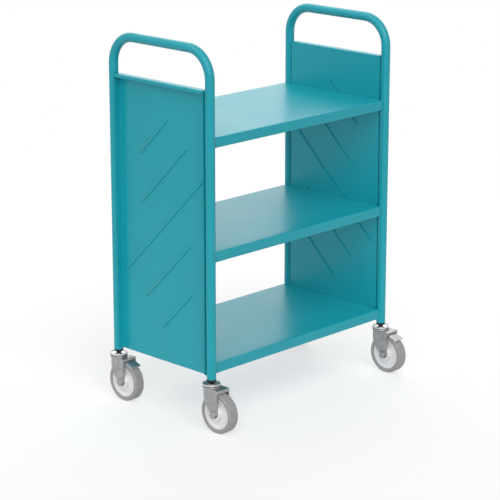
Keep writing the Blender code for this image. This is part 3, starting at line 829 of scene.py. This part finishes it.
@dataclass
class EndFrame(SubAssembly):
    """A round tube bent to an upside-down U. Its top is the push handle."""

    end: End
    spacing: float = 0.6725
    depth: float = 0.358
    middle: float = 0.030
    foot: float = 0.13938
    handle_height: float = 1.00038
    tube_radius: float = 0.0125
    wall: float = 0.0015
    bend_radius: float = 0.075
    sides: int = 40
    bend_steps: int = 20

    def build(self) -> None:
        """Sweep the tube along its U and give it its wall."""
        draft = Draft()
        reach = self.depth / 2 - self.bend_radius
        rise = self.handle_height - self.bend_radius
        bmesh.ops.create_circle(draft.bm, segments=self.sides, radius=self.tube_radius)
        draft.shift(draft.bm.verts, (0, -self.depth / 2, self.foot))
        loop = draft.fold(draft.bm.edges[:], (0, 0, rise - self.foot))
        loop = draft.sweep(loop, (0, -reach, rise), (1, 0, 0), -math.pi / 2, self.bend_steps)
        loop = draft.fold(loop, (0, 2 * reach, 0))
        loop = draft.sweep(loop, (0, reach, rise), (1, 0, 0), -math.pi / 2, self.bend_steps)
        draft.fold(loop, (0, 0, self.foot - rise))
        draft.closed().thickened(self.wall)
        place = Matrix.Translation((self.end.value * self.spacing / 2, self.middle, 0))
        self.add(self.end.node("end_frame"), draft, place, TEAL_PAINT)


@dataclass
class EndPanel(SubAssembly):
    """A sheet tray between the uprights, with diagonal pressed beads and welded pads."""

    end: End
    inner_face: float = 0.32725
    middle: float = 0.030
    foot: float = 0.14288
    height: float = 0.757
    half_width: float = 0.1653
    fold_depth: float = 0.0206
    lip_height: float = 0.009
    fold_foot_rise: float = 0.0066
    corner_relief: float = 0.003
    fold_radius: float = 0.0025
    fold_segments: int = 5
    sheet: float = 0.0012
    bead_angle: float = math.radians(45)
    bead_foot: float = 0.1074
    bead_top: float = 0.112
    bead_half_width: float = 0.0052
    bead_crest_half_width: float = 0.0042
    bead_height: float = 0.0032
    flank_steps: int = 4
    bead_margins: tuple[Point, ...] = (
        (0.158, 0.068), (0.095, 0.070), (0.020, 0.0235), (0.080, 0.086), (0.080, 0.151),
    )
    pad_radius: float = 0.0045
    pad_foot_radius: float = 0.005625
    pad_reach: float = 0.0009
    pad_inset: float = 0.009
    pad_end_distance: float = 0.060
    pads_per_side: int = 3
    pad_sides: int = 24

    def build(self) -> None:
        """Fold the sheet, press its beads and weld its pads on."""
        half = self.half_width
        relief = half - self.corner_relief
        levels = (0, self.height - self.corner_relief, self.height)
        draft = Draft.plate(levels, (-half, -relief, relief, half), {(1, 0), (1, 2)})
        draft.moved(Matrix.Rotation(-math.pi / 2, 4, "Y"))
        out = (-self.fold_depth, 0, 0)
        for side in (-1, 1):
            draft.fold(draft.open_edges(1, side * half), out)
        feet = [vert for vert in draft.bm.verts if vert.co.x < -Draft.SAME and vert.co.z < Draft.SAME]
        draft.shift(feet, (0, 0, self.fold_foot_rise))
        lip = draft.fold(draft.open_edges(2, self.height), out)
        draft.fold(lip, (0, 0, -self.lip_height))
        draft.facing(0).rounded(self.fold_radius, self.fold_segments)
        self._press_beads(draft)
        draft.thickened(self.sheet)
        self._add_pads(draft)
        turn = 0.0 if self.end is End.LEFT else math.pi
        place = Matrix.Translation((self.end.value * self.inner_face, self.middle, self.foot))
        self.add(self.end.node("end_panel"), draft, place @ Matrix.Rotation(turn, 4, "Z"), TEAL_PAINT)

    def _beads(self) -> list[tuple[Vector, Vector]]:
        """Set out the middle lines of the beads.

        Returns:
            The lower and upper end of each, in YZ.
        """
        pitch = (self.height - self.bead_foot - self.bead_top) / (len(self.bead_margins) - 1)
        slope = math.tan(self.bead_angle)
        ends = []
        for index, (rear_margin, front_margin) in enumerate(self.bead_margins):
            middle = self.bead_foot + index * pitch
            rear = self.half_width - rear_margin
            front = front_margin - self.half_width
            ends.append((Vector((rear, middle - rear * slope)), Vector((front, middle - front * slope))))
        return ends

    def _press_beads(self, draft: Draft) -> None:
        """Cut the plate along and across each bead and press the bead out of it.

        Args:
            draft: the folded sheet.
        """
        beads = self._beads()
        along = (beads[0][1] - beads[0][0]).normalized()
        across = Vector((along.y, -along.x))
        width = self.bead_half_width
        flank = 1 - self.bead_crest_half_width / width
        steps = [1 - flank * step / self.flank_steps for step in range(self.flank_steps + 1)]
        shares = [1 + flank / 2, *steps, steps[-1] - flank / 2, 0.0]
        for lower, upper in beads:
            for share in shares:
                self._cut(draft, lower + across * (share * width), across)
                self._cut(draft, lower - across * (share * width), across)
            for share in shares:
                self._cut(draft, lower - along * (share * width), along)
                self._cut(draft, upper + along * (share * width), along)
        for vert in draft.bm.verts:
            if abs(vert.co.x) < Draft.SAME:
                vert.co.x -= max(self._bead_rise(vert.co.yz, *bead) for bead in beads)

    @staticmethod
    def _cut(draft: Draft, point: Vector, normal: Vector) -> None:
        """Cut the flat plate along a line, given by a point and a normal in YZ."""
        flat = [face for face in draft.bm.faces if all(abs(vert.co.x) < Draft.SAME for vert in face.verts)]
        draft.cut(flat, (0, *point), (0, *normal))

    def _bead_rise(self, point: Vector, lower: Vector, upper: Vector) -> float:
        """Return how far a bead stands out of the plate.

        Args:
            point: a point of the plate in YZ.
            lower: the lower end of the bead's middle line.
            upper: its upper end.

        Returns:
            The height, which rises smoothly along the bead's flank.
        """
        line = upper - lower
        share = min(1.0, max(0.0, (point - lower).dot(line) / line.length_squared))
        distance = (point - lower - line * share).length
        slope = (self.bead_half_width - distance) / (self.bead_half_width - self.bead_crest_half_width)
        slope = min(1.0, max(0.0, slope))
        return self.bead_height * slope * slope * (3 - 2 * slope)

    def _add_pads(self, draft: Draft) -> None:
        """Add the pads that are welded between the side folds and the uprights.

        Args:
            draft: the panel.
        """
        pitch = (self.height - 2 * self.pad_end_distance) / (self.pads_per_side - 1)
        pad = Draft.rod(
            self.pad_foot_radius, -self.sheet / 2, self.pad_reach, self.pad_sides, self.pad_radius,
        )
        for side in (-1, 1):
            turn = Matrix.Rotation(-side * math.pi / 2, 4, "X")
            for index in range(self.pads_per_side):
                height = self.pad_end_distance + index * pitch
                seat = Matrix.Translation((-self.pad_inset, side * self.half_width, height))
                draft.joined(pad, seat @ turn)


@dataclass
class Shelf(SubAssembly):
    """A folded sheet with turned-down, hemmed edges and corners notched for the uprights."""

    level: Level
    top: float
    middle: float = 0.030
    half_length: float = 0.32695
    edge_half_length: float = 0.32155
    half_depth: float = 0.1834
    end_half_depth: float = 0.1643
    edge_height: float = 0.0274
    hem: float = 0.012
    sheet: float = 0.0012
    fold_radius: float = 0.0020
    fold_segments: int = 5
    tab_length: float = 0.016
    tab_clearance: float = 0.0025

    def build(self) -> None:
        """Fold the shelf."""
        columns = (-self.half_length, -self.edge_half_length, self.edge_half_length, self.half_length)
        rows = (-self.half_depth, -self.end_half_depth, self.end_half_depth, self.half_depth)
        draft = Draft.plate(columns, rows, {(0, 0), (2, 0), (0, 2), (2, 2)})
        down = (0, 0, -self.edge_height)
        for side in (-1, 1):
            edge = draft.fold(draft.open_edges(1, side * self.half_depth), down)
            draft.fold(edge, (0, -side * self.hem, 0))
            draft.fold(draft.open_edges(0, side * self.half_length), down)
        draft.facing(2).rounded(self.fold_radius, self.fold_segments).thickened(self.sheet)
        self._add_tabs(draft)
        self.add(self.level.value, draft, Matrix.Translation((0, self.middle, self.top)), TEAL_PAINT)

    def _add_tabs(self, draft: Draft) -> None:
        """Close the ends of the front and rear edges with small welded tabs.

        Args:
            draft: the folded shelf.
        """
        start = self.tab_clearance - self.half_depth
        end = start + self.tab_length
        high, low = -self.tab_clearance, self.tab_clearance - self.edge_height
        tab = Draft.bar([(start, high), (start, low), (end, low), (end, high)], self.sheet / 2)
        for turn in (0, math.pi):
            for side in (-1, 1):
                seat = Matrix.Translation((side * (self.edge_half_length - self.sheet / 2), 0, 0))
                draft.joined(tab, Matrix.Rotation(turn, 4, "Z") @ seat)


@dataclass
class CastorPart(SubAssembly):
    """A group of a castor's pieces, with the sizes that the groups share."""

    corner: Corner
    axis: Matrix
    trail: float = 0.030
    axle_height: float = 0.054
    bolt_radius: float = 0.005
    hex_width: float = 0.017
    hex_height: float = 0.0064
    race_angle: float = math.radians(25)
    fit: float = 0.0003

    @property
    def on_axle(self) -> Matrix:
        """Return the middle of the axle."""
        return self.axis @ Matrix.Translation((0, -self.trail, self.axle_height))

    @property
    def bolt_bore(self) -> float:
        """Return the radius of a bore for a bolt."""
        return self.bolt_radius + self.fit

    def put(self, finish: Finish, place: Matrix, **drafts: Draft) -> None:
        """Add pieces of one finish at one place, by the ends of their CAD nodes' names."""
        for piece, draft in drafts.items():
            self.add(self.corner.node(piece), draft, place, finish)

    def bolt(self, length: float, end_round: float) -> Draft:
        """Make a hex bolt on Z, with its head below z = 0 and its shank above."""
        head = Draft.hexagon(self.hex_width, self.hex_height).moved(Matrix.Rotation(math.pi, 4, "X"))
        return Draft.rod(self.bolt_radius, -self.hex_height / 2, length).rounded(end_round).joined(head)


@dataclass
class CastorHead(CastorPart):
    """What holds a castor to its upright: plug, stem bolt, king pin, swivel cup and balls."""

    tube_foot: float = 0.13938
    tube_radius: float = 0.0125
    spigot_radius: float = 0.0107
    plug_length: float = 0.040
    plug_flange: float = 0.0055
    plug_lead: Point = (0.001, 0.003)
    plug_round: float = 0.0005
    neck_radius: float = 0.00675
    neck_length: float = 0.00665
    stem_engagement: float = 0.036
    stem_round: float = 0.0006
    pin_foot: float = 0.1144
    pin_top: float = 0.12663
    pin_radius: float = 0.0075
    pin_flange: Point = (0.011, 0.002)
    pin_collar: Point = (0.0095, 0.0015)
    pin_round: float = 0.0004
    cup_radius: float = 0.024
    cup_rim_wall: float = 0.0022
    cup_rim_height: float = 0.0047
    cup_sheet: float = 0.0025
    cup_floor_radius: float = 0.01705
    cup_round: float = 0.0007
    ball_circle: float = 0.02105
    ball_radius: float = 0.001
    ball_gap: float = 0.0001

    def build(self) -> None:
        """Turn the pieces of the head."""
        self.put(BLACK_PLASTIC, self.axis, tube_plug=self._plug())
        # These zinc pieces take the lighter zinc copy, a painted highlight.
        self.put(
            ZINC, self.axis, stem_bolt=self._stem_bolt(), king_pin=self._king_pin(),
            swivel_cup=self._cup(), ball_ring=self._balls(),
        )

    def _plug(self) -> Draft:
        """Turn the plug, with its flange and its neck.

        Returns:
            The plug.
        """
        spigot, flange, neck = self.spigot_radius, self.tube_radius, self.neck_radius
        lead_depth, lead_length = self.plug_lead
        top = self.tube_foot + self.plug_length
        seat = self.tube_foot - self.fit
        flange_foot = seat - self.plug_flange
        neck_foot = flange_foot - self.neck_length
        profile = [
            (self.bolt_bore, top), (spigot - lead_depth, top), (spigot, top - lead_length),
            (spigot, seat), (flange, seat), (flange, flange_foot),
            (neck, flange_foot), (neck, neck_foot), (self.bolt_bore, neck_foot),
        ]
        return Draft.turned(profile, steps=48).rounded(self.plug_round)

    def _stem_bolt(self) -> Draft:
        """Make the stem bolt, with its head under the king pin.

        Returns:
            The bolt.
        """
        seat = self.pin_foot - self.fit
        length = self.tube_foot + self.stem_engagement - seat
        return self.bolt(length, self.stem_round).moved(Matrix.Translation((0, 0, seat)))

    def _king_pin(self) -> Draft:
        """Turn the hollow king pin.

        Returns:
            The pin.
        """
        flange, flange_height = self.pin_flange
        collar, collar_height = self.pin_collar
        flange_top = self.pin_foot + flange_height
        collar_foot = self.pin_top - collar_height
        profile = [
            (self.bolt_bore, self.pin_top), (collar, self.pin_top), (collar, collar_foot),
            (self.pin_radius, collar_foot), (self.pin_radius, flange_top), (flange, flange_top),
            (flange, self.pin_foot), (self.bolt_bore, self.pin_foot),
        ]
        return Draft.turned(profile, steps=40).rounded(self.pin_round)

    def _cup(self) -> Draft:
        """Turn the swivel cup, a dish with a standing rim.

        Returns:
            The cup.
        """
        outer, inner = self.cup_radius, self.cup_radius - self.cup_rim_wall
        floor_top = self.pin_top - self.pin_collar[1] - self.fit
        floor_foot = floor_top - self.cup_sheet
        rim_foot = floor_foot + (inner - self.cup_floor_radius) * math.tan(self.race_angle)
        rim_top = rim_foot + self.cup_rim_height
        rise = self.cup_sheet / math.cos(self.race_angle)
        floor_edge = self.cup_floor_radius - (rise - self.cup_sheet) / math.tan(self.race_angle)
        hole = self.pin_radius + self.fit
        profile = [
            (inner, rim_top), (outer, rim_top), (outer, rim_foot), (inner, rim_foot),
            (self.cup_floor_radius, floor_foot), (hole, floor_foot), (hole, floor_top),
            (floor_edge, floor_top), (inner, rim_foot + rise),
        ]
        return Draft.turned(profile, steps=72).rounded(self.cup_round, segments=3)

    def _balls(self) -> Draft:
        """Set out the balls on their circle.

        Returns:
            The balls.
        """
        low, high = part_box(self.corner.node("ball_ring"))
        seat = Matrix.Translation((self.ball_circle, 0, (low.z + high.z) / 2))
        count = int(math.pi / math.asin((self.ball_radius + self.ball_gap / 2) / self.ball_circle))
        draft = Draft()
        ball = Draft()
        bmesh.ops.create_icosphere(ball.bm, subdivisions=2, radius=self.ball_radius)
        for index in range(count):
            draft.joined(ball, Matrix.Rotation(2 * math.pi * index / count, 4, "Z") @ seat)
        return draft


@dataclass
class CastorFork(CastorPart):
    """A pressed fork with its lower ball race, and the axle across it."""

    crown_top: float = 0.120
    sheet: float = 0.003
    sheet_round: float = 0.0003
    outer: float = 0.023
    front: float = 0.0435
    lip_foot: float = 0.1105
    bend: float = -0.010
    back_steps: int = 28
    back_drop: float = 0.020
    shoulder_rise: float = 0.002
    taper_rise: float = 0.030
    leg_half_width: float = 0.0125
    boss_drop: float = 0.0092
    boss_segments: int = 12
    crown_radius: float = 0.0036
    race_inner: float = 0.01955
    race_outer: float = 0.0235
    race_foot: float = 0.0003
    race_round: float = 0.0005
    bolt_round: float = 0.0007
    sleeve_radius: float = 0.0075
    sleeve_round: float = 0.0004
    collar_radius: float = 0.00714
    collar_height: float = 0.0016
    collar_round: float = 0.0005

    def build(self) -> None:
        """Press the fork and make its axle."""
        # The fork, its race and the axle parts take the darker zinc copy, painted shade.
        self.put(ZINC_PAINTED_SHADE, self.axis, fork=self._fork().joined(self._race()))
        self.put(
            ZINC_PAINTED_SHADE, self.on_axle, axle_bolt=self._axle_bolt(), axle_nut=self._axle_nut(),
            axle_sleeve=self._axle_sleeve(),
        )

    def _leg(self, draft: Draft, side: int) -> None:
        """Add the outer face of one leg, with its round end.

        Args:
            draft: the fork.
            side: -1 for the left leg, 1 for the right one.
        """
        rear, front = self.leg_half_width - self.trail, -self.leg_half_width - self.trail
        low = self.axle_height - self.boss_drop
        outline = [
            (-self.front, self.crown_top), (self.bend, self.crown_top),
            (self.bend, self._back_foot(self.bend)),
            (rear, self.axle_height + self.shoulder_rise), (rear, low), (front, low),
            (front, self.axle_height), (-self.front, self.axle_height + self.taper_rise),
            (-self.front, self.lip_foot),
        ]
        verts = [draft.bm.verts.new((side * self.outer, y, z)) for y, z in outline]
        draft.bm.faces.new(verts)
        boss = [vert for vert in verts if abs(vert.co.z - low) < Draft.SAME]
        draft.bevelled(boss, "VERTICES", self.boss_drop, self.boss_segments)

    def _back_foot(self, y: float) -> float:
        """Work out the sloping lower edge of the back.

        Args:
            y: a place from front to rear.

        Returns:
            The edge's height there.
        """
        start = self.leg_half_width - self.trail
        low = self.axle_height + self.shoulder_rise
        high = self.crown_top - self.back_drop
        return low + (high - low) * (y - start) / (self.outer - start)

    def _fork(self) -> Draft:
        """Press the fork: two legs, a round back, a crown and a front lip.

        Returns:
            The fork.
        """
        draft = Draft()
        for side in (-1, 1):
            self._leg(draft, side)
        rear = [edge for edge in draft.open_edges(1, self.bend) if edge.verts[0].co.x < 0]
        draft.sweep(rear, (0, self.bend, 0), (0, 0, 1), -math.pi, self.back_steps)
        back = [vert for vert in draft.bm.verts if vert.co.y > self.bend + Draft.SAME]
        stretch = Matrix.Translation((0, -self.bend, 0))
        bmesh.ops.scale(draft.bm, verts=back, vec=(1, 1 - self.bend / self.outer, 1), space=stretch)
        self._trim_back(draft)
        draft.closed()
        self._close_crown(draft)
        draft.facing(2).rounded(self.crown_radius, segments=5, angle=math.radians(50))
        draft.thickened(self.sheet)
        return draft.rounded(self.sheet_round, segments=1, angle=math.radians(60))

    def _trim_back(self, draft: Draft) -> None:
        """Cut the foot of the back along its slope.

        Args:
            draft: the fork.
        """
        faces = [face for face in draft.bm.faces if face.calc_center_median().y > self.bend]
        slope = self._back_foot(1.0) - self._back_foot(0.0)
        draft.cut(faces, (0, 0, self._back_foot(0)), (0, -slope, 1), clear=True)

    def _close_crown(self, draft: Draft) -> None:
        """Fill the crown between the walls and turn its front edge down to the lip.

        Args:
            draft: the fork.
        """
        top = [vert for vert in draft.bm.verts if abs(vert.co.z - self.crown_top) < Draft.SAME]
        front_edge = draft.bm.edges.new([v for v in top if abs(v.co.y + self.front) < Draft.SAME])
        rim = [edge for edge in draft.bm.edges if all(vert in top for vert in edge.verts)]
        bmesh.ops.edgeloop_fill(draft.bm, edges=rim)
        draft.fold([front_edge], (0, 0, self.lip_foot - self.crown_top))

    def _race(self) -> Draft:
        """Turn the lower ball race, which is pressed on the crown.

        Returns:
            The race.
        """
        foot = self.crown_top - self.sheet / 2
        inner_top = self.crown_top + self.race_foot
        outer_top = inner_top + (self.race_outer - self.race_inner) * math.tan(self.race_angle)
        profile = [
            (self.race_inner, inner_top), (self.race_outer, outer_top),
            (self.race_outer, foot), (self.race_inner, foot),
        ]
        return Draft.turned(profile, steps=72).rounded(self.race_round)

    def _axle_bolt(self) -> Draft:
        """Make the axle bolt, with its head outside the left leg.

        Returns:
            The bolt.
        """
        seat = self.outer + self.fit
        bolt = self.bolt(2 * seat + self.hex_height, self.bolt_round).along_x()
        return bolt.moved(Matrix.Translation((-seat, 0, 0)))

    def _axle_nut(self) -> Draft:
        """Make the lock nut outside the right leg: a hex with a round collar.

        Returns:
            The nut.
        """
        hex_height = self.hex_height - self.collar_height
        collar = Draft.ring(self.bolt_bore, self.collar_radius, hex_height / 2, self.hex_height)
        nut = Draft.hexagon(self.hex_width, hex_height).joined(collar.rounded(self.collar_round))
        return nut.along_x().moved(Matrix.Translation((self.outer + self.fit, 0, 0)))

    def _axle_sleeve(self) -> Draft:
        """Turn the sleeve that the wheel runs on.

        Returns:
            The sleeve.
        """
        half = self.outer - self.sheet - self.fit
        sleeve = Draft.ring(self.bolt_bore, self.sleeve_radius, -half, half)
        return sleeve.rounded(self.sleeve_round).along_x()


@dataclass
class CastorWheel(CastorPart):
    """A plastic wheel core with a rubber tyre."""

    radius: float = 0.054
    half_width: float = 0.0155
    sides: int = 96
    core_radius: float = 0.0425
    core_half_width: float = 0.013
    core_round: float = 0.0009
    rim_band: float = 0.0045
    web_recess: float = 0.0045
    hub_radius: float = 0.0205
    hub_half_width: float = 0.0194
    bore: float = 0.0078
    ring_radius: float = 0.0295
    ring_step: float = 0.0006
    tread_half_width: float = 0.011
    sidewall: float = 0.0056
    sidewall_half_width: float = 0.0136
    shoulder_steps: int = 10

    def build(self) -> None:
        """Turn the core and the tyre on the axle."""
        self.put(WHEEL_PLASTIC, self.on_axle, wheel_core=self._core())
        self.put(GREY_RUBBER, self.on_axle, tyre=self._tyre())

    def _core(self) -> Draft:
        """Turn the core: rim, dished web with a moulded ring, and raised hub.

        Returns:
            The core.
        """
        band = self.core_radius - self.rim_band
        web = self.core_half_width - self.web_recess
        ring = web + self.ring_step
        half = [
            (self.core_radius, self.core_half_width), (band, self.core_half_width),
            (band - self.web_recess, web), (self.ring_radius, web),
            (self.ring_radius - self.ring_step, ring), (self.hub_radius, ring),
            (self.hub_radius - self.web_recess / 2, self.hub_half_width),
            (self.bore, self.hub_half_width),
        ]
        core = Draft.turned(both_sides(half), self.sides)
        return core.rounded(self.core_round, segments=3, angle=math.radians(25)).along_x()

    def _tyre(self) -> Draft:
        """Turn the tyre, with sloping sidewalls and rounded shoulders.

        Returns:
            The tyre.
        """
        seat = self.core_radius + self.fit
        shoulder = seat + self.sidewall
        rise, reach = self.radius - shoulder, self.half_width - self.tread_half_width
        turns = [math.pi / 2 * step / self.shoulder_steps for step in range(self.shoulder_steps + 1)]
        half = [
            (shoulder + rise * math.sin(turn), self.tread_half_width + reach * math.cos(turn))
            for turn in turns
        ]
        inner = [(seat, -self.sidewall_half_width), (seat, self.sidewall_half_width)]
        return Draft.turned(both_sides(half) + inner, self.sides).along_x()


@dataclass
class CastorBrake(CastorPart):
    """A pedal hinged under the fork's crown, with the shoe that it presses on the tyre."""

    pivot: Point = (-0.034, 0.113)
    slope: float = math.radians(22.8)
    half_width: float = 0.017
    reach: float = 0.033
    sheet: float = 0.002
    edge: float = 0.0038
    top: float = 0.00315
    pedal_round: float = 0.0005
    knuckle: float = 0.0034
    knuckle_round: float = 0.0003
    pin_radius: float = 0.0019
    pin_half_length: float = 0.0233
    pin_round: float = 0.0005
    shoe_start: float = 0.015
    shoe_length: float = 0.011
    shoe_sheet: float = 0.001
    shoe_half_width: float = 0.013
    shoe_round: float = 0.0002

    def build(self) -> None:
        """Fold the pedal and make its shoe and pin."""
        on_pivot = self.axis @ Matrix.Translation((0, *self.pivot))
        # The pedal and its pin take the lighter zinc copy, a painted highlight.
        self.put(ZINC, on_pivot, brake_pedal=self._pedal())
        self.put(SHOE_STEEL, on_pivot, brake_shoe=self._shoe())
        self.put(ZINC, on_pivot, pedal_pin=self._pin())

    def _along(self, points: Sequence[Point]) -> list[Point]:
        """Return the (y, z) places of points along the pedal.

        Args:
            points: their distances from the pivot and their heights above the pedal's top face.

        Returns:
            The places, from the pivot.
        """
        forward = Vector((-math.cos(self.slope), -math.sin(self.slope)))
        up = Vector((-math.sin(self.slope), math.cos(self.slope)))
        places = [forward * distance + up * (self.top + height) for distance, height in points]
        return [tuple(place) for place in places]

    def _pedal(self) -> Draft:
        """Fold the pedal: a sloping plate with a turned-down front edge, and a knuckle round the pin.

        Returns:
            The pedal.
        """
        start = self.pin_radius + 2 * self.fit
        end = self.reach / math.cos(self.slope)
        fold = end - self.sheet
        outline = self._along([
            (start, 0), (fold, 0), (end, -self.sheet / 2), (end, -self.edge), (fold, -self.edge),
            (fold, -self.sheet), (start, -self.sheet),
        ])
        pedal = Draft.bar(outline, self.half_width).rounded(self.pedal_round, segments=3)
        half = self.half_width
        knuckle = Draft.ring(self.pin_radius + self.fit, self.knuckle, -half, half, steps=32)
        return pedal.joined(knuckle.rounded(self.knuckle_round).along_x())

    def _shoe(self) -> Draft:
        """Make the shoe, with its ends cut back.

        Returns:
            The shoe.
        """
        top = -self.sheet - self.fit
        foot = top - self.shoe_sheet
        start, end = self.shoe_start, self.shoe_start + self.shoe_length
        cut = self.shoe_sheet
        outline = self._along([(start, top), (end, top), (end - cut, foot), (start + cut, foot)])
        return Draft.bar(outline, self.shoe_half_width).rounded(self.shoe_round)

    def _pin(self) -> Draft:
        """Make the pin, with its ends rounded over."""
        pin = Draft.rod(self.pin_radius, -self.pin_half_length, self.pin_half_length)
        return pin.rounded(self.pin_round, segments=3).along_x()


@dataclass(frozen=True)
class FarLight:
    """A broad, soft light from far away."""

    name: str
    origin: Place
    energy: float
    softness: float
    shadows: bool = True

    def build(self) -> None:
        """Add the lamp."""
        lamp = bpy.data.lights.new(self.name, "SUN")
        lamp.energy = self.energy
        lamp.angle = self.softness
        lamp.use_shadow = self.shadows
        linked(self.name, lamp).rotation_euler = Vector(self.origin).to_track_quat("Z", "Y").to_euler()


@dataclass(frozen=True)
class Softbox:
    """A large lit panel that shows as a sheen on surfaces seen at a low angle."""

    name: str
    place: Place
    target: Place
    size: Point
    radiance: float

    def build(self) -> None:
        """Add the lamp, out of the camera's sight."""
        lamp = bpy.data.lights.new(self.name, "AREA")
        lamp.shape = "RECTANGLE"
        lamp.size, lamp.size_y = self.size
        lamp.energy = self.radiance * math.pi * self.size[0] * self.size[1]
        light = linked(self.name, lamp)
        light.location = self.place
        away = Vector(self.place) - Vector(self.target)
        light.rotation_euler = away.to_track_quat("Z", "Y").to_euler()
        light.visible_camera = False


@dataclass
class Studio:
    """The pale floor, the soft light and the camera."""

    floor_radius: float = 3.2
    floor_sides: int = 96
    floor_fade: Point = (1.0, 3.04)
    floor_colour: Colour = (0.82, 0.82, 0.825)
    floor_tint: float = 0.985
    floor_cells: float = 40.0
    floor_roughness: float = 0.9
    floor_lift: float = 0.5
    sky_level: float = 0.40
    lights: tuple[Union[FarLight, Softbox], ...] = (
        FarLight("soft_key", (-0.55, 0.35, 0.76), 1.0, math.radians(40), shadows=False),
        FarLight("front_fill", (-0.45, -0.65, 0.61), 2.1, math.radians(60)),
        FarLight("camera_fill", (-0.70, -0.67, 0.27), 0.3, math.radians(60)),
        Softbox("back_softbox", (2.38, 2.32, 1.55), (0.0, 0.03, 0.5), (3.0, 1.8), 0.75),
        Softbox("high_softbox", (1.90, 1.90, 3.20), (0.0, 0.03, 0.75), (3.0, 2.0), 2.0),
    )
    camera_place: Place = (-3.7915, -3.6610, 1.8908)
    camera_yaw: float = math.radians(45.697)
    camera_pitch: float = math.radians(15.90)
    sensor_width: float = 36.0
    focal_pixels: float = 2008.4
    image_pixels: float = 500.0
    sight: float = 100.0

    def build(self) -> None:
        """Make the stage."""
        self._floor()
        self._sky()
        for light in self.lights:
            light.build()
        self._camera()

    def _floor(self) -> None:
        """Lay a pale round floor that keeps the shadow and fades into the white background."""
        bm = bmesh.new()
        bmesh.ops.create_circle(bm, cap_ends=True, segments=self.floor_sides, radius=self.floor_radius)
        mesh = bpy.data.meshes.new("floor")
        bm.to_mesh(mesh)
        bm.free()
        linked("floor", mesh)
        material = bpy.data.materials.new("pale_floor")
        material.use_nodes = True
        graph = Graph(material.node_tree)
        reach = graph.node("ShaderNodeVectorMath", "Value", {"operation": "LENGTH"}, {0: graph.place()})
        fade = graph.contrast(reach, *self.floor_fade)
        tint = tuple(self.floor_tint * part for part in self.floor_colour)
        graph.surface({
            "Base Color": graph.mix(graph.noise(self.floor_cells, detail=3.0), tint, self.floor_colour),
            "Roughness": self.floor_roughness,
            "Specular IOR Level": 0.0,
            "Alpha": (1 - fade) * (1 - self.floor_lift * graph.seen()),
        })
        mesh.materials.append(material)

    def _sky(self) -> None:
        """Light the scene from all round, and show white behind it and in its reflections."""
        world = bpy.data.worlds.new("white_room")
        world.use_nodes = True
        bpy.context.scene.world = world
        graph = Graph(world.node_tree)
        background = world.node_tree.nodes["Background"]
        graph.feed(background, "Color", (1.0, 1.0, 1.0))
        graph.feed(background, "Strength", self.sky_level + (1 - self.sky_level) * graph.seen())

    def _camera(self) -> None:
        """Stand the camera where the photograph was taken from."""
        data = bpy.data.cameras.new("camera")
        data.sensor_width = self.sensor_width
        data.lens = self.sensor_width * self.focal_pixels / self.image_pixels
        data.clip_end = self.sight
        camera = linked("camera", data)
        camera.location = self.camera_place
        camera.rotation_euler = (math.pi / 2 - self.camera_pitch, 0, -self.camera_yaw)
        bpy.context.scene.camera = camera


def swivel_axis(corner: Corner) -> Matrix:
    """Find a castor's swivel axis from its joint.

    Args:
        corner: the castor's corner.

    Returns:
        Where the axis meets the floor.
    """
    joint = next(j for j in frame["joints"] if j["name"] == corner.node("swivel"))
    x, y, _ = joint["pos_m"]
    return Matrix.Translation((x, y, 0))


def sub_assemblies() -> list[SubAssembly]:
    """Set out the trolley's sub-assemblies.

    Returns:
        All of them, from the frames down to the brakes.
    """
    parts: list[SubAssembly] = []
    for end in End:
        parts += [EndFrame(end), EndPanel(end)]
    for level in Level:
        parts.append(Shelf(level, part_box(level.value)[1].z))
    for corner in Corner:
        axis = swivel_axis(corner)
        parts += [CastorHead(corner, axis), CastorWheel(corner, axis)]
        if corner.node("brake_pedal") in frame["nodes"]:
            parts += [CastorFork(corner, axis, lip_foot=BRAKED_LIP_FOOT), CastorBrake(corner, axis)]
        else:
            parts.append(CastorFork(corner, axis))
    return parts


def write_sizes() -> None:
    """Bring the view layer up to date."""
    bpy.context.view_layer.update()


def main() -> None:
    """Build, dress and stage the trolley."""
    logging.basicConfig(level=logging.INFO, format="%(name)s: %(message)s")
    for part in sub_assemblies():
        part.build()
        part.dress()
    Studio().build()
    bpy.context.scene.view_settings.view_transform = "Standard"
    write_sizes()


if __name__ == "__main__":
    main()
